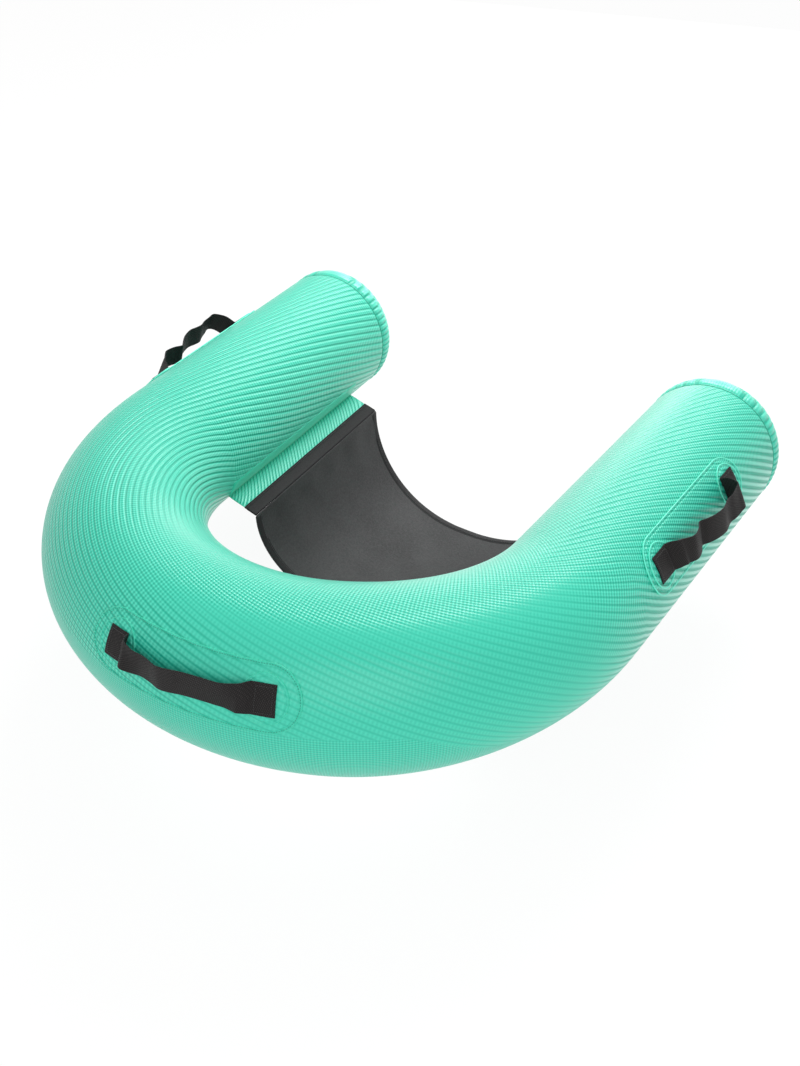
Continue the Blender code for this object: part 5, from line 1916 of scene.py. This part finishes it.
    def patch_stitches(self, name: str, lift: float) -> Piece:
        """Dark stitches that follow the patch's outline just inside its rim.

        Args:
            name: the piece's name.
            lift: height of the patch's top over the tube.

        Returns:
            The piece.
        """
        half = self.patch_width / 2
        ahead, facing = self.outline(self.patch_length, half)
        x = ahead + np.cos(facing) * (half - self.patch_stitch_inset)
        y = np.sin(facing) * (half - self.patch_stitch_inset)
        path, above = self.lifted(closed(x), closed(y), lift)
        row = stitches(name, path, above, self.palette.seam, 0.0036, 0.0010)
        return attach(row, "lounger")

    def build(self) -> None:
        """Make the patch, pads, piping, straps and stitches."""
        patch_size = (self.patch_length, self.patch_width, self.patch_lift)
        patch = self.oval(f"{self.name}_patch", 0.0, *patch_size)
        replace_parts(patch, f"handle_{self.name}_patch")
        self.piping(f"{self.name}_patch_piping", 0.0, *patch_size)
        top = self.patch_lift + self.patch_cloth
        if self.on_bend:
            self.patch_stitches(f"{self.name}_patch_stitches", top)
        pad_size = (self.pad_length, self.pad_width, top + self.gap)
        for end, sign in zip(self.ends, (-1.0, 1.0)):
            where = sign * (self.free + self.tab / 2)
            pad = self.oval(f"{self.name}_pad_{end}", where, *pad_size)
            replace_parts(pad, f"handle_{self.name}_pad_{end}")
            self.piping(f"{self.name}_pad_piping_{end}", where, *pad_size)
            self.strap(end, sign)
            self.tab_stitches(f"{self.name}_tab_stitches_{end}", sign)
        log.info("handle %s: patch, pads, piping, straps and stitches", self.name)


# Fittings that keep their CAD shape


@dataclass
class Fittings:
    """Valve and zip, whose CAD nodes stay and take finer looks."""

    frame: dict[str, Any]
    palette: Palette

    def build(self) -> None:
        """Give every kept node its material."""
        looks = (
            (self.palette.valve, ("valve_base", "valve_insert", "valve_tether", "valve_cap")),
            (self.palette.rubber, ("valve_flap",)),
            (self.palette.zip, ("zip_tape_lower", "zip_tape_upper", "zip_teeth_lower", "zip_teeth_upper",
                                "zip_slider", "zip_pull", "zip_stop_left", "zip_stop_right")))
        dressed = 0
        for look, nodes in looks:
            for node in nodes:
                mesh = self.frame["nodes"][node].data
                mesh.materials.clear()
                mesh.materials.append(look)
            dressed += len(nodes)
        log.info("fittings: %d nodes dressed", dressed)


# Stage


@dataclass(frozen=True)
class Lamp:
    """A square soft lamp that faces the lounger's middle: where it hangs, its side and its power in watts."""

    name: str
    place: tuple[float, float, float]
    size: float
    power: float

    def build(self) -> None:
        """Hang the lamp."""
        data = bpy.data.lights.new(self.name, "AREA")
        data.size = self.size
        data.energy = self.power
        lamp = bpy.data.objects.new(self.name, data)
        lamp.location = self.place
        aim = Vector((0.0, 0.0, 0.2)) - Vector(self.place)
        lamp.rotation_euler = aim.to_track_quat("-Z", "Y").to_euler()
        lamp.visible_camera = False
        bpy.context.scene.collection.objects.link(lamp)


@dataclass(frozen=True)
class Studio:
    """Pale floor, soft lamps, white surroundings and the camera of the photograph's angle."""

    form: TubeForm
    camera_from_bend: tuple[float, float, float] = (-0.83591, 1.22520, 1.10164)
    target_from_bend: tuple[float, float, float] = (-0.07765, 0.01444, 0.0)
    roll: float = math.radians(0.44)
    lens: float = 51.07
    sensor: float = 36.0
    ambient: float = 0.60
    floor_half: float = 14.0
    floor_drop: float = 0.0006
    floor_white: float = 0.90
    glow: float = 1.03
    glow_share: float = 0.90
    lamps: tuple[Lamp, ...] = (
        Lamp("key", (0.29, -1.65, 2.26), 1.5, 56.0),
        Lamp("fill", (-1.35, 2.0, 1.6), 2.0, 19.0),
        Lamp("rim", (1.0, -4.2, 1.1), 3.0, 32.0))

    def world(self) -> None:
        """White for the camera, in reflections and through clear things, and softer light for all else."""
        kit = NodeKit(bpy.data.worlds.new("studio"))
        bpy.context.scene.world = kit.owner
        levels = {"Value": kit.seen(), "To Min": self.ambient, "To Max": 1.0}
        strength = kit.node("ShaderNodeMapRange", {}, levels)
        background = kit.add("ShaderNodeBackground", {}, {"Color": WHITE, "Strength": strength})
        kit.add("ShaderNodeOutputWorld", {}, {"Surface": background})

    def floor(self) -> Piece:
        """Wide pale floor that keeps a soft shadow and looks white to the camera.

        Returns:
            The floor.
        """
        kit = NodeKit.of_material("floor_paint")
        paint = kit.add("ShaderNodeBsdfDiffuse", {}, {"Color": (self.floor_white,) * 3 + (1.0,)})
        glow = kit.add("ShaderNodeEmission", {}, {"Color": WHITE, "Strength": self.glow})
        shaders = {"Fac": kit.seen() * self.glow_share, "Shader": paint, "Shader_001": glow}
        kit.add("ShaderNodeOutputMaterial", {}, {"Surface": kit.add("ShaderNodeMixShader", {}, shaders)})
        mesh = bpy.data.meshes.new("floor")
        wide, low = self.floor_half, -self.floor_drop
        corners = [(-wide, -wide, low), (wide, -wide, low), (wide, wide, low), (-wide, wide, low)]
        mesh.from_pydata(corners, [], [(0, 1, 2, 3)])
        mesh.materials.append(kit.owner)
        floor = bpy.data.objects.new("floor", mesh)
        bpy.context.scene.collection.objects.link(floor)
        return floor

    def camera(self) -> None:
        """Camera at the fitted place, turned to its target and rolled a little."""
        bend = Vector((0.0, self.form.centre_y, self.form.centre_z))
        place = bend + Vector(self.camera_from_bend)
        target = bend + Vector(self.target_from_bend)
        data = bpy.data.cameras.new("photo_camera")
        data.sensor_fit = "HORIZONTAL"
        data.sensor_width = self.sensor
        data.lens = self.lens
        data.clip_start = 0.05
        data.clip_end = 60.0
        camera = bpy.data.objects.new("photo_camera", data)
        turn = (target - place).to_track_quat("-Z", "Y").to_matrix().to_4x4()
        camera.matrix_world = Matrix.Translation(place) @ turn @ Matrix.Rotation(self.roll, 4, "Z")
        bpy.context.scene.collection.objects.link(camera)
        bpy.context.scene.camera = camera

    def build(self) -> None:
        """Set up the stage and the view."""
        self.world()
        self.floor()
        for lamp in self.lamps:
            lamp.build()
        self.camera()
        bpy.context.scene.view_settings.view_transform = "Standard"
        log.info("studio: world, floor, lamps and camera")


def main() -> None:
    """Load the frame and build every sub-assembly in order."""
    logging.basicConfig(level=logging.INFO, format="%(name)s: %(message)s")
    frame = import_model()
    form = TubeForm.from_frame()
    ribs = RibCount()
    palette = Palette.mixed()
    Cover(form, ribs, palette).build()
    SlingSeat(form, palette).build()
    Handle(form, ribs, palette, "rear", middle=0.038, ends=("left", "right"), wave=REAR_WAVE, span=0.262,
           tab=0.032, turn=151.5).build()
    for arm in Arm:
        middle = arm.sign * (form.half_run - ARM_HANDLE_FROM_SEAM)
        Handle(form, ribs, palette, arm.value, middle, ends=("rear", "front")).build()
    Fittings(frame, palette).build()
    Studio(form).build()


if __name__ == "__main__":
    main()
